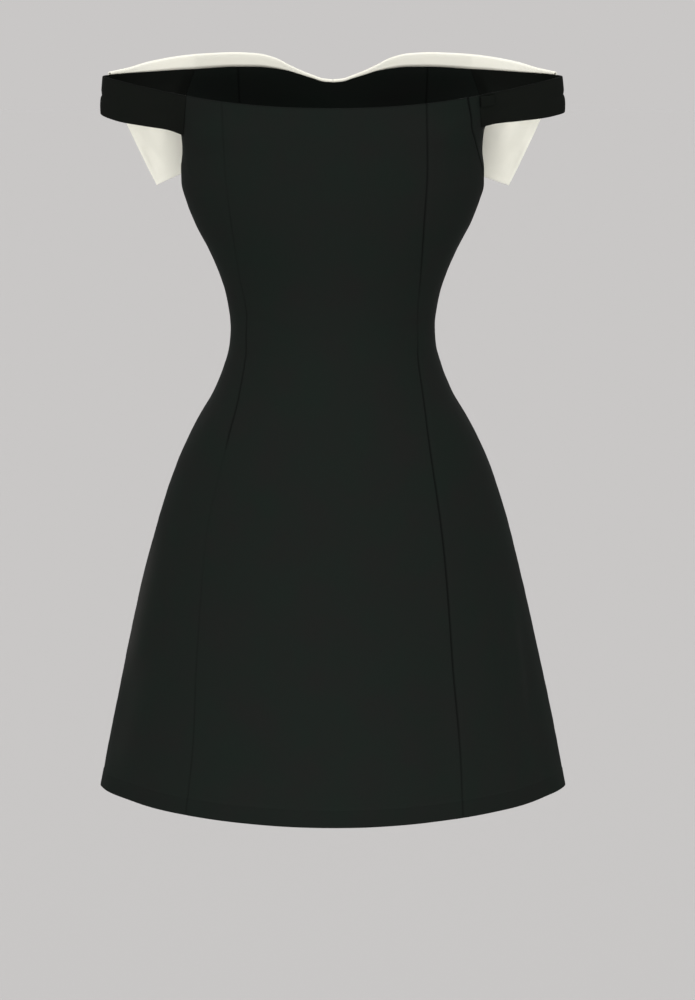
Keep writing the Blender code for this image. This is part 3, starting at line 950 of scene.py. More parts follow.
def rim(distance: Array, radius: float) -> Array:
    """How far each face of a wall is drawn in beside its rounded edge.

    Args:
        distance: distances from the edge.
        radius: half the wall's thickness.

    Returns:
        A distance for each place.
    """
    reach = radius - np.clip(distance, 0, radius)
    return RIM_ROUND * (radius - np.sqrt(np.maximum(radius**2 - reach**2, 0)))


def two_sides(
    base: Array, facing: Array, lift: Array, sewn: Array, slim: Array, cloth: Array | float
) -> tuple[Array, Array]:
    """Both sides of a wall that lies on the dress's form. Its seams show less inside.

    Args:
        base: points of the form.
        facing: its outward normals.
        lift: how far its creases move the whole wall outwards.
        sewn: how far its seams move its outer side.
        slim: how far both sides are drawn in at the edges.
        cloth: the thickness.

    Returns:
        The outer and the inner side.
    """
    outer = base + facing * (lift + sewn - slim)[..., None]
    inner = base + facing * (lift - cloth + slim - SEAM_INSIDE * np.minimum(sewn, 0))[..., None]
    return outer, inner


@dataclass
class Shell:
    """A closed thin wall: two grids of points, with a rim where the kept cells end."""

    name: str
    outer: Array
    inner: Array
    kept: Array
    flat: Array
    facing: Array
    masks: dict[str, Array]

    def mesh(self) -> bpy.types.Object:
        """Makes the wall's mesh, with its flat coordinates and its shading masks.

        Returns:
            The new object, at the origin.
        """
        rows, columns = self.outer.shape[:2]
        index = np.arange(rows * columns).reshape(rows, columns)
        corners = np.stack(
            [index[:-1, :-1], index[:-1, 1:], index[1:, 1:], index[1:, :-1]], axis=-1
        )
        rims = self.rims(index)
        if self.turned():
            corners, rims = corners[..., ::-1], rims[:, ::-1]
        outside = corners[self.kept]
        inside = outside[:, ::-1] + index.size
        faces = np.concatenate([outside, inside, rims])
        points = np.concatenate([self.outer.reshape(-1, 3), self.inner.reshape(-1, 3)])
        flat = np.concatenate([self.flat.reshape(-1, 2)] * 2)
        masks = {name: np.tile(mask.reshape(-1), 2) for name, mask in self.masks.items()}
        masks["wrong_side"] = np.repeat([0.0, 1.0], index.size)
        used, faces = np.unique(faces, return_inverse=True)
        faces = faces.reshape(-1, 4)
        masks = {name: mask[used] for name, mask in masks.items()}
        return make_mesh(f"{self.name}_cloth", points[used], faces, flat[used], masks)

    def rims(self, index: Array) -> Array:
        """Faces that close the wall where a kept cell has no kept neighbour.

        Args:
            index: the number of each point of the outer grid.

        Returns:
            The corners of each face, a row for each.
        """
        rows, columns = self.kept.shape
        wide = np.pad(self.kept, 1)
        low, high = index[:-1], index[1:]
        sides = (
            (1, 0, high[:, :-1], low[:, :-1]),
            (0, 1, low[:, :-1], low[:, 1:]),
            (1, 2, low[:, 1:], high[:, 1:]),
            (2, 1, high[:, 1:], high[:, :-1]),
        )
        faces = []
        for down, over, starts, stops in sides:
            ends = self.kept & ~wide[down : down + rows, over : over + columns]
            a, b = starts[ends], stops[ends]
            faces.append(np.stack([b, a, a + index.size, b + index.size], axis=-1))
        return np.concatenate(faces)

    def turned(self) -> bool:
        """True if the grid's rows and columns turn against its outward side."""
        middle = tuple(size // 2 for size in self.outer.shape[:2])
        made = grid_normals(self.outer, 1)[middle]
        return bool(made @ self.facing[middle] > 0)


def make_mesh(
    name: str, points: Array, faces: Array, flat: Array, masks: dict[str, Array]
) -> bpy.types.Object:
    """Makes a smooth mesh object from arrays.

    Args:
        name: the object's name.
        points: its points.
        faces: the points of each face, all with the same number of corners.
        flat: each point's flat coordinates in metres, kept as the UV map cloth.
        masks: named values for each point.

    Returns:
        The new object, linked to the scene.
    """
    data = bpy.data.meshes.new(name)
    count, corners = faces.shape
    data.vertices.add(len(points))
    data.vertices.foreach_set("co", points.astype(np.float32).ravel())
    data.loops.add(count * corners)
    data.loops.foreach_set("vertex_index", faces.astype(np.int32).ravel())
    data.polygons.add(count)
    data.polygons.foreach_set("loop_start", np.arange(0, count * corners, corners, dtype=np.int32))
    data.update(calc_edges=True)
    layer = data.uv_layers.new(name="cloth")
    layer.data.foreach_set("uv", flat[faces.ravel()].astype(np.float32).ravel())
    for mask, values in masks.items():
        kept = data.attributes.new(mask, "FLOAT", "POINT")
        kept.data.foreach_set("value", values.astype(np.float32))
    data.validate()
    data.shade_smooth()
    made = bpy.data.objects.new(name, data)
    bpy.context.scene.collection.objects.link(made)
    return made


class Span(NamedTuple):
    """Part of a panel between two lines. It reaches a neckline, or stops under the arm
    where it has none."""

    first: Line
    last: Line
    count: int
    neck: Optional[EdgeOf]


@dataclass
class Panel:
    """A panel of the dress, from the hem up, between its seams."""

    name: str
    spans: tuple[Span, ...]
    first_seam: Sewn
    last_seam: Sewn
    width: float
    length: float
    area: float
    turn_rows: int = 5
    body_rows: int = 215
    neck_rows: int = 10
    hem_ridge: float = 0.00040
    hem_ridge_width: float = 0.0011
    hem_uneven: float = 0.5
    hem_wave: float = 0.045
    hem_full: float = 0.8
    hem_start: float = 0.003
    hem_end: float = 0.0024
    # shade painted over the turned-up hem
    hem_shade: float = 0.10
    drift: float = 0.00035

    def under_row(self) -> int:
        """The row that runs along the armholes' low edges."""
        turn = self.turn_rows + len(EDGE_STEPS) + len(FOLD_LINE_STEPS) - 1
        body = self.body_rows + len(EDGE_STEPS) + len(FOLD_LINE_STEPS) - 1
        return turn + body - 2

    def between(self, span: Span, share: Array, height: Array) -> Array:
        """Angles of places across a span.

        Args:
            span: the span.
            share: how far across it each place is.
            height: the places' heights.

        Returns:
            The angles, in degrees.
        """
        return span.first.angles(height) * (1 - share) + span.last.angles(height) * share

    def meet(self, span: Span, share: Array, edge: EdgeOf, start: float) -> Array:
        """Heights at which columns of a span reach an edge.

        Args:
            span: the span.
            share: how far across it each column is.
            edge: the edge's height for an angle and a height.
            start: a height near it, from which they are found.

        Returns:
            The heights.
        """
        height = np.full(share.shape, start)
        for _ in range(MEET_ROUNDS):
            height = edge(self.between(span, share, height), height)
        return height

    def heights(self, span: Span, share: Array) -> Array:
        """Heights of a span's rows: the hem's turned-up part, the skirt and bodice, and
        from the underarm to the neckline.

        Args:
            span: the span.
            share: how far across it each place is, in one row or in all rows.

        Returns:
            The heights, a row for each of the panel's rows.
        """
        under_share = share[min(self.under_row(), len(share) - 1)]
        hem = self.meet(span, share[0], PATTERN.hem_edge, HEM)
        under = self.meet(span, under_share, PATTERN.underarm, NEAR_UNDERARM)
        top = under + ROOT_RISE
        if span.neck:
            top = self.meet(span, share[-1], span.neck, NEAR_NECK)
        turn = spread(HEM_TURN_UP + 0 * hem, self.turn_rows, EDGE_STEPS, FOLD_LINE_STEPS)
        rise = under - hem - HEM_TURN_UP
        body = spread(rise, self.body_rows, FOLD_LINE_STEPS, EDGE_STEPS)
        neck = spread(top - under, self.neck_rows, EDGE_STEPS, EDGE_STEPS)
        return np.concatenate([hem + turn, hem + HEM_TURN_UP + body[1:], under + neck[1:]])

    def places(self, span: Span) -> tuple[Array, Array]:
        """Angles and heights of a span's grid, with fine columns beside its two lines.
        The distances are measured on a coarse grid first.

        Args:
            span: the span.

        Returns:
            The angles and the heights.
        """
        coarse = np.linspace(0, 1, ARC_SAMPLES + 1)
        height = self.heights(span, coarse[None])
        angle = self.between(span, coarse[None], height)
        run = lengths_along(FORM.surface(angle, height), 1)
        distance = spread(run[:, -1], span.count, EDGE_STEPS, EDGE_STEPS).T
        share = np.stack([np.interp(d, r, coarse) for d, r in zip(distance, run)])
        height = self.heights(span, share)
        return self.between(span, share, height), height

    def grid(self) -> tuple[Array, Array, Array, list[int]]:
        """Joins the grids of the panel's spans. Where two meet, the column that they
        share is kept from the one that reaches a neckline.

        Returns:
            The angles, the heights, which columns reach a neckline, and the columns at
            which two spans meet.
        """
        angles, heights, tall, joints = [], [], [], []
        for span in self.spans:
            angle, height = self.places(span)
            if angles and tall[-1]:
                angle, height = angle[:, 1:], height[:, 1:]
                joints.append(sum(part.shape[1] for part in angles) - 1)
            elif angles:
                angles[-1], heights[-1] = angles[-1][:, :-1], heights[-1][:, :-1]
                joints.append(sum(part.shape[1] for part in angles))
            angles.append(angle)
            heights.append(height)
            tall.append(span.neck is not None)
        columns = np.repeat(tall, [part.shape[1] for part in angles])
        return np.concatenate(angles, 1), np.concatenate(heights, 1), columns, joints

    def seams(
        self, run: Array, height: Array, under: Array, joints: list[int]
    ) -> list[tuple[Sewn, Array]]:
        """The seams round the panel.

        Args:
            run: each place's distance from the panel's first line.
            height: its height.
            under: the height of the armhole's low edge in each column.
            joints: the columns that end in the seam of an arm band.

        Returns:
            Each seam, with the distance of every place from it.
        """
        found = [(self.first_seam, run), (self.last_seam, run[:, -1:] - run)]
        for joint in joints:
            down = np.maximum(under[joint] - height, 0)
            away = np.hypot(run - run[:, joint : joint + 1], down)
            found.append((ROOT_SEAM, away))
        return found

    def shell(self) -> Shell:
        """Works out the panel's wall: the form's surface, moved out or in by its creases
        and seams, with rounded free edges and a turned-up hem.

        Returns:
            The wall.
        """
        angle, height, columns, joints = self.grid()
        row = self.under_row()
        kept = np.ones((angle.shape[0] - 1, angle.shape[1] - 1), dtype=bool)
        kept[row:] = columns[:-1] & columns[1:]

        base, facing = FORM.surface(angle, height), FORM.outward(angle, height)
        run = lengths_along(base, 1)
        hem, under, top = height[0], height[row], height[-1]
        lift = sum(crease.lifts(base) for crease in CREASES)
        # some creases are painted paler, as a sheen
        painted_sheen = sum(crease.painted_sheen_at(base) for crease in CREASES)
        lift = lift + self.drift * drifting(base)
        seams = self.seams(run, height, under, joints)
        sewn = sum(seam.lifts(distance, height) for seam, distance in seams)
        # shade painted in the seams' grooves
        painted_shade = sum(seam.shades(distance, height) for seam, distance in seams)

        above = height - hem
        past_turn = above - HEM_TURN_UP
        uneven = 1 + self.hem_uneven * ripple(run, self.hem_wave, len(self.name))
        lift = lift + self.hem_ridge * bell(past_turn, self.hem_ridge_width) * uneven
        lift = lift + self.hem_ridge * self.hem_full * ease(-past_turn / self.hem_start)
        turned_up = 1 - ease(past_turn / self.hem_end + 0.5)
        cloth = CLOTH + (HEM_CLOTH - CLOTH) * turned_up

        edge = np.where(columns, top - height, under - height)
        slim = rim(edge, CLOTH / 2) + rim(above, HEM_CLOTH / 2)
        # shade painted along the free edges and over the turned-up hem
        painted_shade = painted_shade + EDGE_SHADE * bell(np.minimum(edge, above), EDGE_SHADE_WIDTH)
        painted_shade = painted_shade + self.hem_shade * turned_up
        outer, inner = two_sides(base, facing, lift, sewn, slim, cloth)
        middle = run.shape[1] // 2
        flat = np.stack([run - run[:, middle : middle + 1], lengths_along(base, 0)], -1)
        masks = {"painted_shade": np.clip(painted_shade, 0, 1), "painted_sheen": painted_sheen}
        return Shell(self.name, outer, inner, kept, flat, facing, masks)

    def make(self, finish: "ClothFinish") -> bpy.types.Object:
        """Makes the panel, which stands for its solid."""
        made = self.shell().mesh()
        finish.dress(made)
        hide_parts(self.name)
        return made


def drifting(points: Array) -> Array:
    """A slow unevenness over a surface: sine waves that cross it in different directions.

    Args:
        points: points of the surface, with a last axis of three.

    Returns:
        A value from -1 to 1 for each point.
    """
    dice = np.random.default_rng(DRIFT_SEED)
    total = np.zeros(points.shape[:-1])
    for _ in range(DRIFT_WAVES):
        way = unit(dice.normal(size=3)) * 2 * np.pi / dice.uniform(*DRIFT_LENGTHS)
        total += np.sin(points @ way + dice.uniform(0, 2 * np.pi))
    return total / DRIFT_WAVES


class FlatCrease(NamedTuple):
    """A ridge, or a trough where its lift is negative, between two places of a piece
    laid flat, given in the piece's own two measures. It bows by a share of its length."""

    first: tuple[float, float]
    last: tuple[float, float]
    lift: float
    width: float
    bow: float = 0.04
    points: int = 12

    def lifts(self, places: Array, size: tuple[float, float] = (1, 1)) -> Array:
        """How far it raises places of the piece.

        Args:
            places: places in metres, with a last axis of two.
            size: what one measure of the crease's own places is, in metres.

        Returns:
            A distance for each place.
        """
        path = np.linspace(self.first, self.last, self.points) * size
        aside = self.bow * np.sin(np.pi * np.linspace(0, 1, self.points))[:, None]
        path = path + aside * np.subtract(self.last, self.first)[::-1] * size * (1, -1)
        return raised_along(places, path, self.lift, self.width, Fade.BOTH_ENDS)


# Creases of an arm band, as shares of its length from the back and of its width. It
# folds a little round the outside of the arm.
BAND_CREASES = (
    FlatCrease((0.36, 0.50), (0.64, 0.53), -0.0012, 0.0022),
    FlatCrease((0.38, 0.26), (0.62, 0.24), 0.0008, 0.0100),
    FlatCrease((0.30, 0.72), (0.52, 0.78), 0.0004, 0.0060),
    FlatCrease((0.04, 0.30), (0.22, 0.62), -0.0005, 0.0050),
    FlatCrease((0.05, 0.74), (0.26, 0.44), 0.0004, 0.0050),
    FlatCrease((0.96, 0.28), (0.80, 0.58), -0.0005, 0.0055),
    FlatCrease((0.95, 0.66), (0.76, 0.36), 0.0004, 0.0055),
    FlatCrease((0.20, 0.16), (0.36, 0.12), -0.0005, 0.0040),
    FlatCrease((0.66, 0.14), (0.82, 0.20), -0.0005, 0.0040),
)


@dataclass
class ArmBand:
    """The band of doubled cloth round an arm, sewn to the back and to the front."""

    side: Side
    width: float = 0.046
    length: float = 0.245
    area: float = 0.0096
    columns: int = 110
    rows: int = 12
    settle: float = 0.014
    belly: float = 0.0006
    drift: float = 0.0003
    drift_scale: float = 1.7
    _routes: list[Array] = field(default_factory=list)
    _roots: list[tuple[Line, float, float]] = field(default_factory=list)

    def __post_init__(self) -> None:
        """Works out the band's ends and its two edges, from the back to the front."""
        made = self.side.value
        roots = (
            PATTERN.back_root(self.side).beside(-made.sign * SEAM_TUCK),
            PATTERN.front_root(self.side).beside(made.sign * SEAM_TUCK),
        )
        lows = (made.back_low, made.front_low)
        tops = (
            roots[0].meets(PATTERN.back_neck, lows[0]),
            roots[1].meets(PATTERN.front_neck, lows[1]),
        )
        low_route, top_route = [], []
        for place in BAND_PLACES:
            low = made.back_low + (made.front_low - made.back_low) * place.low_share
            low_route.append((made.sign * place.low_across, place.low_depth, low))
            top_route.append((made.sign * place.across, place.depth, place.height))
        for levels, route in ((lows, low_route), (tops, top_route)):
            ends = [
                FORM.surface(root.angles(np.array(level)), np.array(level))
                for root, level in zip(roots, levels)
            ]
            self._routes.append(through([ends[0], *route, ends[1]], ROUTE_POINTS))
        self._roots = list(zip(roots, lows, tops))

    def places(self, along: Array, up: Array) -> Array:
        """Points of the band's outer side: straight between its two edges, and on the
        dress's own surface at its two ends.

        Args:
            along: shares of its length from the back.
            up: shares of its width from its low edge.

        Returns:
            The points, a row for each share up.
        """
        edges = []
        for route in self._routes:
            at = np.linspace(0, 1, len(route))
            edges.append(np.stack([np.interp(along, at, route[:, i]) for i in range(3)], -1))
        share = up[:, None, None]
        grid = edges[0] * (1 - share) + edges[1] * share
        reach = lengths_along(self._routes[1], 0)[-1]
        for end, (root, low, top) in zip((0, 1), self._roots):
            heights = low + (top - low) * up
            seam = FORM.surface(root.angles(heights), heights)
            low_end, top_end = (route[-end] for route in self._routes)
            straight = low_end * (1 - up[:, None]) + top_end * up[:, None]
            near = 1 - ease(np.abs(along - end) * reach / self.settle)
            grid = grid + (seam - straight)[:, None] * near[:, None]
        return grid

    def shell(self) -> Shell:
        """Works out the band's wall, with folded edges, a slight belly and creases.

        Returns:
            The wall.
        """
        rise = self._roots[0][2] - self._roots[0][1]
        reach = lengths_along(self._routes[1], 0)[-1]
        up = spread(np.array([rise]), self.rows, EDGE_STEPS, EDGE_STEPS)[:, 0] / rise
        along = spread(np.array([reach]), self.columns, EDGE_STEPS, EDGE_STEPS)[:, 0] / reach
        base = self.places(along, up)
        facing = grid_normals(base, self.side.value.sign)
        run, climb = lengths_along(base, 1), lengths_along(base, 0)
        flat = np.stack([run, climb], -1)
        wide = climb[-1]
        size = (float(run[:, -1].mean()), float(wide.mean()))
        lift = sum(crease.lifts(flat, size) for crease in BAND_CREASES)
        lift = lift + self.belly * np.sin(np.pi * up)[:, None]
        lift = lift + self.drift * drifting(base * self.drift_scale)
        ends = np.minimum(run, run[:, -1:] - run)
        sewn = ROOT_SEAM.lifts(ends, base[..., 2])
        free = np.minimum(climb, wide - climb)
        slim = rim(free, BAND_CLOTH / 2)
        outer, inner = two_sides(base, facing, lift, sewn, slim, BAND_CLOTH)
        kept = np.ones((len(up) - 1, len(along) - 1), dtype=bool)
        # shade painted at the sewn ends and along the folded edges
        painted_shade = ROOT_SEAM.shades(ends, base[..., 2])
        painted_shade = painted_shade + EDGE_SHADE * bell(free, EDGE_SHADE_WIDTH)
        name = f"band_{self.side.value.name}"
        return Shell(name, outer, inner, kept, flat, facing, {"painted_shade": painted_shade})

    def make(self, finish: "ClothFinish") -> bpy.types.Object:
        """Makes the band, which stands for its solid."""
        shell = self.shell()
        made = shell.mesh()
        finish.dress(made)
        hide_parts(shell.name)
        return made


# Creases of the collar's fall, by distance across and height. The diagonal ones are in
# the tails, and the others lie over the bust.
COLLAR_CREASES = (
    FlatCrease((0.226, 0.236), (0.194, 0.158), -0.0011, 0.0050),
    FlatCrease((0.214, 0.240), (0.182, 0.170), 0.0010, 0.0055),
    FlatCrease((0.198, 0.226), (0.172, 0.186), -0.0009, 0.0050),
    FlatCrease((0.206, 0.188), (0.180, 0.152), 0.0007, 0.0045),
    FlatCrease((0.230, 0.252), (0.206, 0.214), 0.0008, 0.0050),
    FlatCrease((0.158, 0.268), (0.146, 0.186), -0.0008, 0.0075),
    FlatCrease((0.134, 0.262), (0.120, 0.180), 0.0007, 0.0090),
    FlatCrease((0.098, 0.270), (0.094, 0.206), -0.0007, 0.0060),
    FlatCrease((0.070, 0.262), (0.060, 0.200), 0.0006, 0.0090),
    FlatCrease((0.040, 0.248), (0.046, 0.206), -0.0005, 0.0060),
)


@dataclass
class Collar:
    """One side of the turned-down collar. Its stand rises from the top edge of the front
    and the band, it folds over outwards, and its fall lies over the bust and the arm."""

    side: Side
    band: ArmBand
    width: float = 0.190
    length: float = 0.270
    area: float = 0.0285
    fold_gap: float = 0.0010
    centre: tuple[float, float] = (0.012, 0.205)
    point: tuple[float, float] = (0.187, 0.1425)
    end_curve: float = 1.25
    reach: float = 13 / 22
    lift: float = 0.0032
    blend: float = 0.004
    soft_from: float = 0.12
    front_points: int = 90
    band_points: int = 60
    band_edge: tuple[float, float] = (0.9, 1.0)
    lean_rounds: int = 3
    columns: int = 120
    stand_rows: int = 4
    fold_rows: int = 12
    fall_rows: int = 44
    rolled: float = 0.00028
    rolled_at: float = 0.0055
    rolled_width: float = 0.0022
    drift: float = 0.0003
    drift_scale: float = 2.0
    root_shade: float = 0.5
    root_shade_width: float = 0.0008

    def base(self) -> tuple[Array, Array]:
        """The line that the collar is sewn to, from the centre front to its end on the
        band, as if on the left side.

        Returns:
            The line's points, and which way the stand leans at each.
        """
        mirror = np.array([self.side.value.sign, 1, 1])
        root = PATTERN.front_root(Side.LEFT)
        end = float(root.angles(np.array(root.meets(PATTERN.front_neck, NEAR_NECK))))
        angle = np.linspace(180, end, self.front_points)
        height = np.full(angle.shape, NEAR_FRONT_NECK)
        for _ in range(MEET_ROUNDS):
            height = PATTERN.front_neck(angle, height)
        along = np.linspace(1, self.reach, self.band_points)
        strip = self.band.places(along, np.array(self.band_edge))
        band_lean = unit(np.cross(np.gradient(strip[1], axis=0), strip[1] - strip[0]))
        band_lean *= self.side.value.sign
        points = np.concatenate([FORM.surface(angle, height), strip[1][1:] * mirror])
        lean = np.concatenate([FORM.outward(angle, height), band_lean[1:] * mirror])
        run = lengths_along(points, 0)
        at = spread(run[-1:], self.columns, EDGE_STEPS, EDGE_STEPS)[:, 0]
        points = np.stack([np.interp(at, run, points[:, i]) for i in range(3)], -1)
        for _ in range(self.lean_rounds):
            lean[1:-1] = (lean[:-2] + lean[1:-1] + lean[2:]) / 3
        lean = np.stack([np.interp(at, run, lean[:, i]) for i in range(3)], -1)
        points[0, 0] = SEAM_GAP / 2
        return points, unit(lean)

    def stand(self) -> tuple[list[Array], list[Array]]:
        """The collar's stand and the fold over its top, row by row.

        Returns:
            The rows of its upper side and of its under side.
        """
        base, lean = self.base()
        out = unit(lean * (1, 1, 0))
        up = np.array([0, 0, 1])
        low = base + up * SEAM_GAP
        turn = low.copy()
        turn[:, 2] = read(NECK_PLACES, "fold", base[:, 0]) - self.fold_gap - COLLAR_CLOTH
        turn[:, 2] = np.maximum(turn[:, 2], low[:, 2] + SEAM_GAP)
        middle = turn + out * self.fold_gap
        thick = self.fold_gap + COLLAR_CLOTH
        stand_top = (middle - out * thick, middle - out * self.fold_gap)
        upper, under = [], []
        for share in np.linspace(0, 1, self.stand_rows + 1)[:-1]:
            upper.append((low - lean * COLLAR_CLOTH) * (1 - share) + stand_top[0] * share)
            under.append(low * (1 - share) + stand_top[1] * share)
        for theta in np.linspace(np.pi, 0, self.fold_rows + 1):
            ray = np.cos(theta) * out + np.sin(theta) * up
            upper.append(middle + ray * thick)
            under.append(middle + ray * self.fold_gap)
        return upper, under

    def fall(self, start: Array, downs: Array) -> Array:
        """The middle of the collar's fall, which lies clear over the bust and the arm.

        Args:
            start: the points at the fold.
            downs: shares of the way down to the free edge, a row for each.

        Returns:
            The points, with the fold as the first row.
        """
        along = start[:, 0] / start[-1, 0]
        edge_across = self.centre[0] + (self.point[0] - self.centre[0]) * along
        curve = (1 - along) ** self.side.value.collar_curve
        edge_height = self.point[1] + (self.centre[1] - self.point[1]) * curve
        clear = 2 * self.fold_gap + COLLAR_CLOTH / 2
        rows = [start]
        for down in downs:
            across = start[:, 0] + (edge_across - start[:, 0]) * down**self.end_curve
            height = start[:, 2] + (edge_height - start[:, 2]) * down
            angle = FORM.angle_at(across, height, True)
            body = -FORM.surface(angle, height)[:, 1] + clear
            carried = np.interp(across, start[:, 0], -start[:, 1])
            apart = np.sqrt((body - carried) ** 2 + self.blend**2)
            depth = (body + carried + apart) / 2 + self.lift * down
            near = (1 - down) ** 4
            depth = -start[:, 1] * near + depth * (1 - near)
            rows.append(np.stack([across, -depth, height], axis=1))
        return np.array(rows)

    def shell(self) -> Shell:
        """Works out the collar's wall: stand, fold and fall, with rounded edges, creases
        and a faint ridge where its edge is seamed.

        Returns:
            The wall.
        """
        upper, under = self.stand()
        deep = self.centre[1] - self.point[1]
        downs = spread(np.array([deep]), self.fall_rows, (0.0,), EDGE_STEPS)[1:, 0] / deep
        fall = self.fall((upper[-1] + under[-1]) / 2, downs)
        away = grid_normals(fall, 1)[1:] * COLLAR_CLOTH / 2
        top = np.concatenate([upper, fall[1:] + away])
        back = np.concatenate([under, fall[1:] - away])

        middle_grid, half = (top + back) / 2, (top - back) / 2
        run, climb = lengths_along(middle_grid, 1), lengths_along(middle_grid, 0)
        to_edge, to_end = climb[-1] - climb, run[:, -1:] - run
        free = np.minimum(np.minimum(to_edge, to_end), run)
        radius = COLLAR_CLOTH / 2
        scale = 1 - rim(free, radius) / radius
        facing = unit(half)
        falling = np.zeros(len(top))
        falling[len(upper) :] = ease(downs / self.soft_from)
        places = middle_grid[..., [0, 2]]
        lift = sum(crease.lifts(places) for crease in COLLAR_CREASES) * falling[:, None]
        ridge = bell(free - self.rolled_at, self.rolled_width)
        lift = lift + self.rolled * ridge * falling[:, None]
        uneven = drifting(middle_grid * self.drift_scale)
        lift = lift + self.drift * uneven * falling[:, None]
        moved = middle_grid + facing * lift[..., None]
        mirror = np.array([self.side.value.sign, 1, 1])
        outer = (moved + half * scale[..., None]) * mirror
        inner = (moved - half * scale[..., None]) * mirror
        kept = np.ones((outer.shape[0] - 1, outer.shape[1] - 1), dtype=bool)
        # shade painted along the collar's sewn edge
        painted_shade = self.root_shade * bell(climb, self.root_shade_width)
        middle = self.columns // 2
        flat = np.stack([run - run[:, middle : middle + 1], climb], -1)
        name = f"collar_{self.side.value.name}"
        return Shell(name, outer, inner, kept, flat, facing * mirror, {"painted_shade": painted_shade})

    def make(self, finish: "ClothFinish") -> bpy.types.Object:
        """Makes the side of the collar, which stands for its solid."""
        shell = self.shell()
        made = shell.mesh()
        finish.dress(made)
        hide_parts(shell.name)
        return made


# A turn of the zip's coil: its rings' places as shares of the coil's half width, their
# girths as shares of its radius, and the faces over a six-sided end
TOOTH_ENDS = np.array([-1.0, -0.55, 0.55, 1.0])
TOOTH_GIRTHS = np.array([0.35, 1.0, 1.0, 0.35])
TOOTH_SIDES = 6
TOOTH_CAP = np.array([[0, 3, 2, 1], [0, 5, 4, 3]])


@dataclass
class SideZip:
    """The closed zip inside the right side seam: two tapes with a coil between them."""

    width: float = 0.016
    length: float = 0.420
    area: float = 0.0066
    coil_half: float = 0.0017
    coil_rise: float = 0.0010
    coil_swell: float = 0.6
    coil_shade: float = 0.6
    coil_shade_width: float = 0.0006
    neck_gap: float = 0.001
    rows: int = 150
    columns: int = 10
    tooth_pitch: float = 0.0014
    tooth_radius: float = 0.00042
    tooth_lean: float = 0.25
    tooth_seat: float = 0.75
    tooth_bend: float = 0.35
    end_gap: float = 0.003

    def frame_at(self, distance: Array, height: Array) -> tuple[Array, Array]:
        """Points of the dress's surface beside the zip, and its normals there."""
        angle = PATTERN.side_seam(Side.RIGHT).beside(distance).angles(height)
        return FORM.surface(angle, height), FORM.outward(angle, height)

    def top(self) -> float:
        """Height of the zip's upper end, at the neckline."""
        return PATTERN.side_seam(Side.RIGHT).meets(PATTERN.back_neck, NEAR_NECK)

    def shell(self) -> Shell:
        """Works out the tapes as one thin wall, raised in the middle by the coil.

        Returns:
            The wall.
        """
        half = self.width / 2
        across = spread(np.array([self.width]), self.columns, TAPE_STEPS, TAPE_STEPS)
        distance = across[:, 0] - half
        height = np.linspace(ZIP_FOOT, self.top() - self.neck_gap, self.rows + 1)
        distance, height = np.meshgrid(distance, height)
        base, facing = self.frame_at(distance, height)
        near = CLOTH + SEAM_GAP
        coil = self.coil_rise * np.sqrt(np.maximum(1 - (distance / self.coil_half) ** 2, 0))
        slim = rim(half - np.abs(distance), TAPE_CLOTH / 2)
        outer = base - facing * (near + slim)[..., None]
        far = near + TAPE_CLOTH + coil * self.coil_swell
        inner = base - facing * (far - slim)[..., None]
        kept = np.ones((outer.shape[0] - 1, outer.shape[1] - 1), dtype=bool)
        flat = np.stack([distance, height - ZIP_FOOT], -1)
        beside = np.abs(distance) - self.coil_half
        # shade painted beside the coil
        painted_shade = self.coil_shade * bell(beside, self.coil_shade_width)
        return Shell("side_zip", outer, inner, kept, flat, facing, {"painted_shade": painted_shade})

    def teeth(self) -> bpy.types.Object:
        """Makes the coil's turns as one mesh: short round bars across the coil, leaning
        to one side and the other in turn.

        Returns:
            The new object.
        """
        count = int((self.top() - ZIP_FOOT - 2 * self.end_gap) / self.tooth_pitch)
        height = ZIP_FOOT + self.end_gap + self.tooth_pitch * np.arange(count)
        lean = np.where(np.arange(count) % 2, 1, -1) * self.tooth_pitch * self.tooth_lean
        turn = np.linspace(0, 2 * np.pi, TOOTH_SIDES, endpoint=False)
        places = height[:, None] + lean[:, None] * TOOTH_ENDS
        distance = TOOTH_ENDS * self.coil_half + 0 * places
        base, facing = self.frame_at(distance, places)
        arch = self.tooth_seat - self.tooth_bend * TOOTH_ENDS**2
        near = CLOTH + SEAM_GAP + TAPE_CLOTH + self.coil_rise * arch
        centre = base - facing * near[:, None]
        up = np.array([0.0, 0.0, 1.0])
        girth = (TOOTH_GIRTHS * self.tooth_radius)[:, None, None]
        round_it = np.cos(turn)[:, None] * up + 0 * centre[..., None, :]
        round_it = round_it + np.sin(turn)[:, None] * facing[..., None, :]
        points = centre[..., None, :] + round_it * girth
        stretches = len(TOOTH_ENDS) - 1
        ring, spot = np.meshgrid(np.arange(stretches), np.arange(TOOTH_SIDES), indexing="ij")
        a = ring * TOOTH_SIDES + spot
        b = ring * TOOTH_SIDES + (spot + 1) % TOOTH_SIDES
        bar = np.stack([a, b, b + TOOTH_SIDES, a + TOOTH_SIDES], axis=-1).reshape(-1, 4)
        far_cap = stretches * TOOTH_SIDES + np.roll(TOOTH_CAP[:, ::-1], 1, axis=1)
        bar = np.concatenate([bar, TOOTH_CAP, far_cap])
        each = len(TOOTH_ENDS) * TOOTH_SIDES
        faces = (bar + each * np.arange(count)[:, None, None]).reshape(-1, 4)
        placed = places[..., None] + 0 * turn
        flat = np.stack(np.broadcast_arrays(distance[..., None], placed), -1).reshape(-1, 2)
        masks = {"painted_shade": np.zeros(len(flat)), "wrong_side": np.ones(len(flat))}
        return make_mesh("zip_teeth", points.reshape(-1, 3), faces, flat, masks)

    def make(self, tape: "ClothFinish", coil: "ClothFinish") -> list[bpy.types.Object]:
        """Makes the tapes, which stand for the zip's solid, and the coil on them."""
        teeth = self.teeth()
        coil.dress(teeth)
        made = self.shell().mesh()
        tape.dress(made)
        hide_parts("side_zip")
        return [made, teeth]


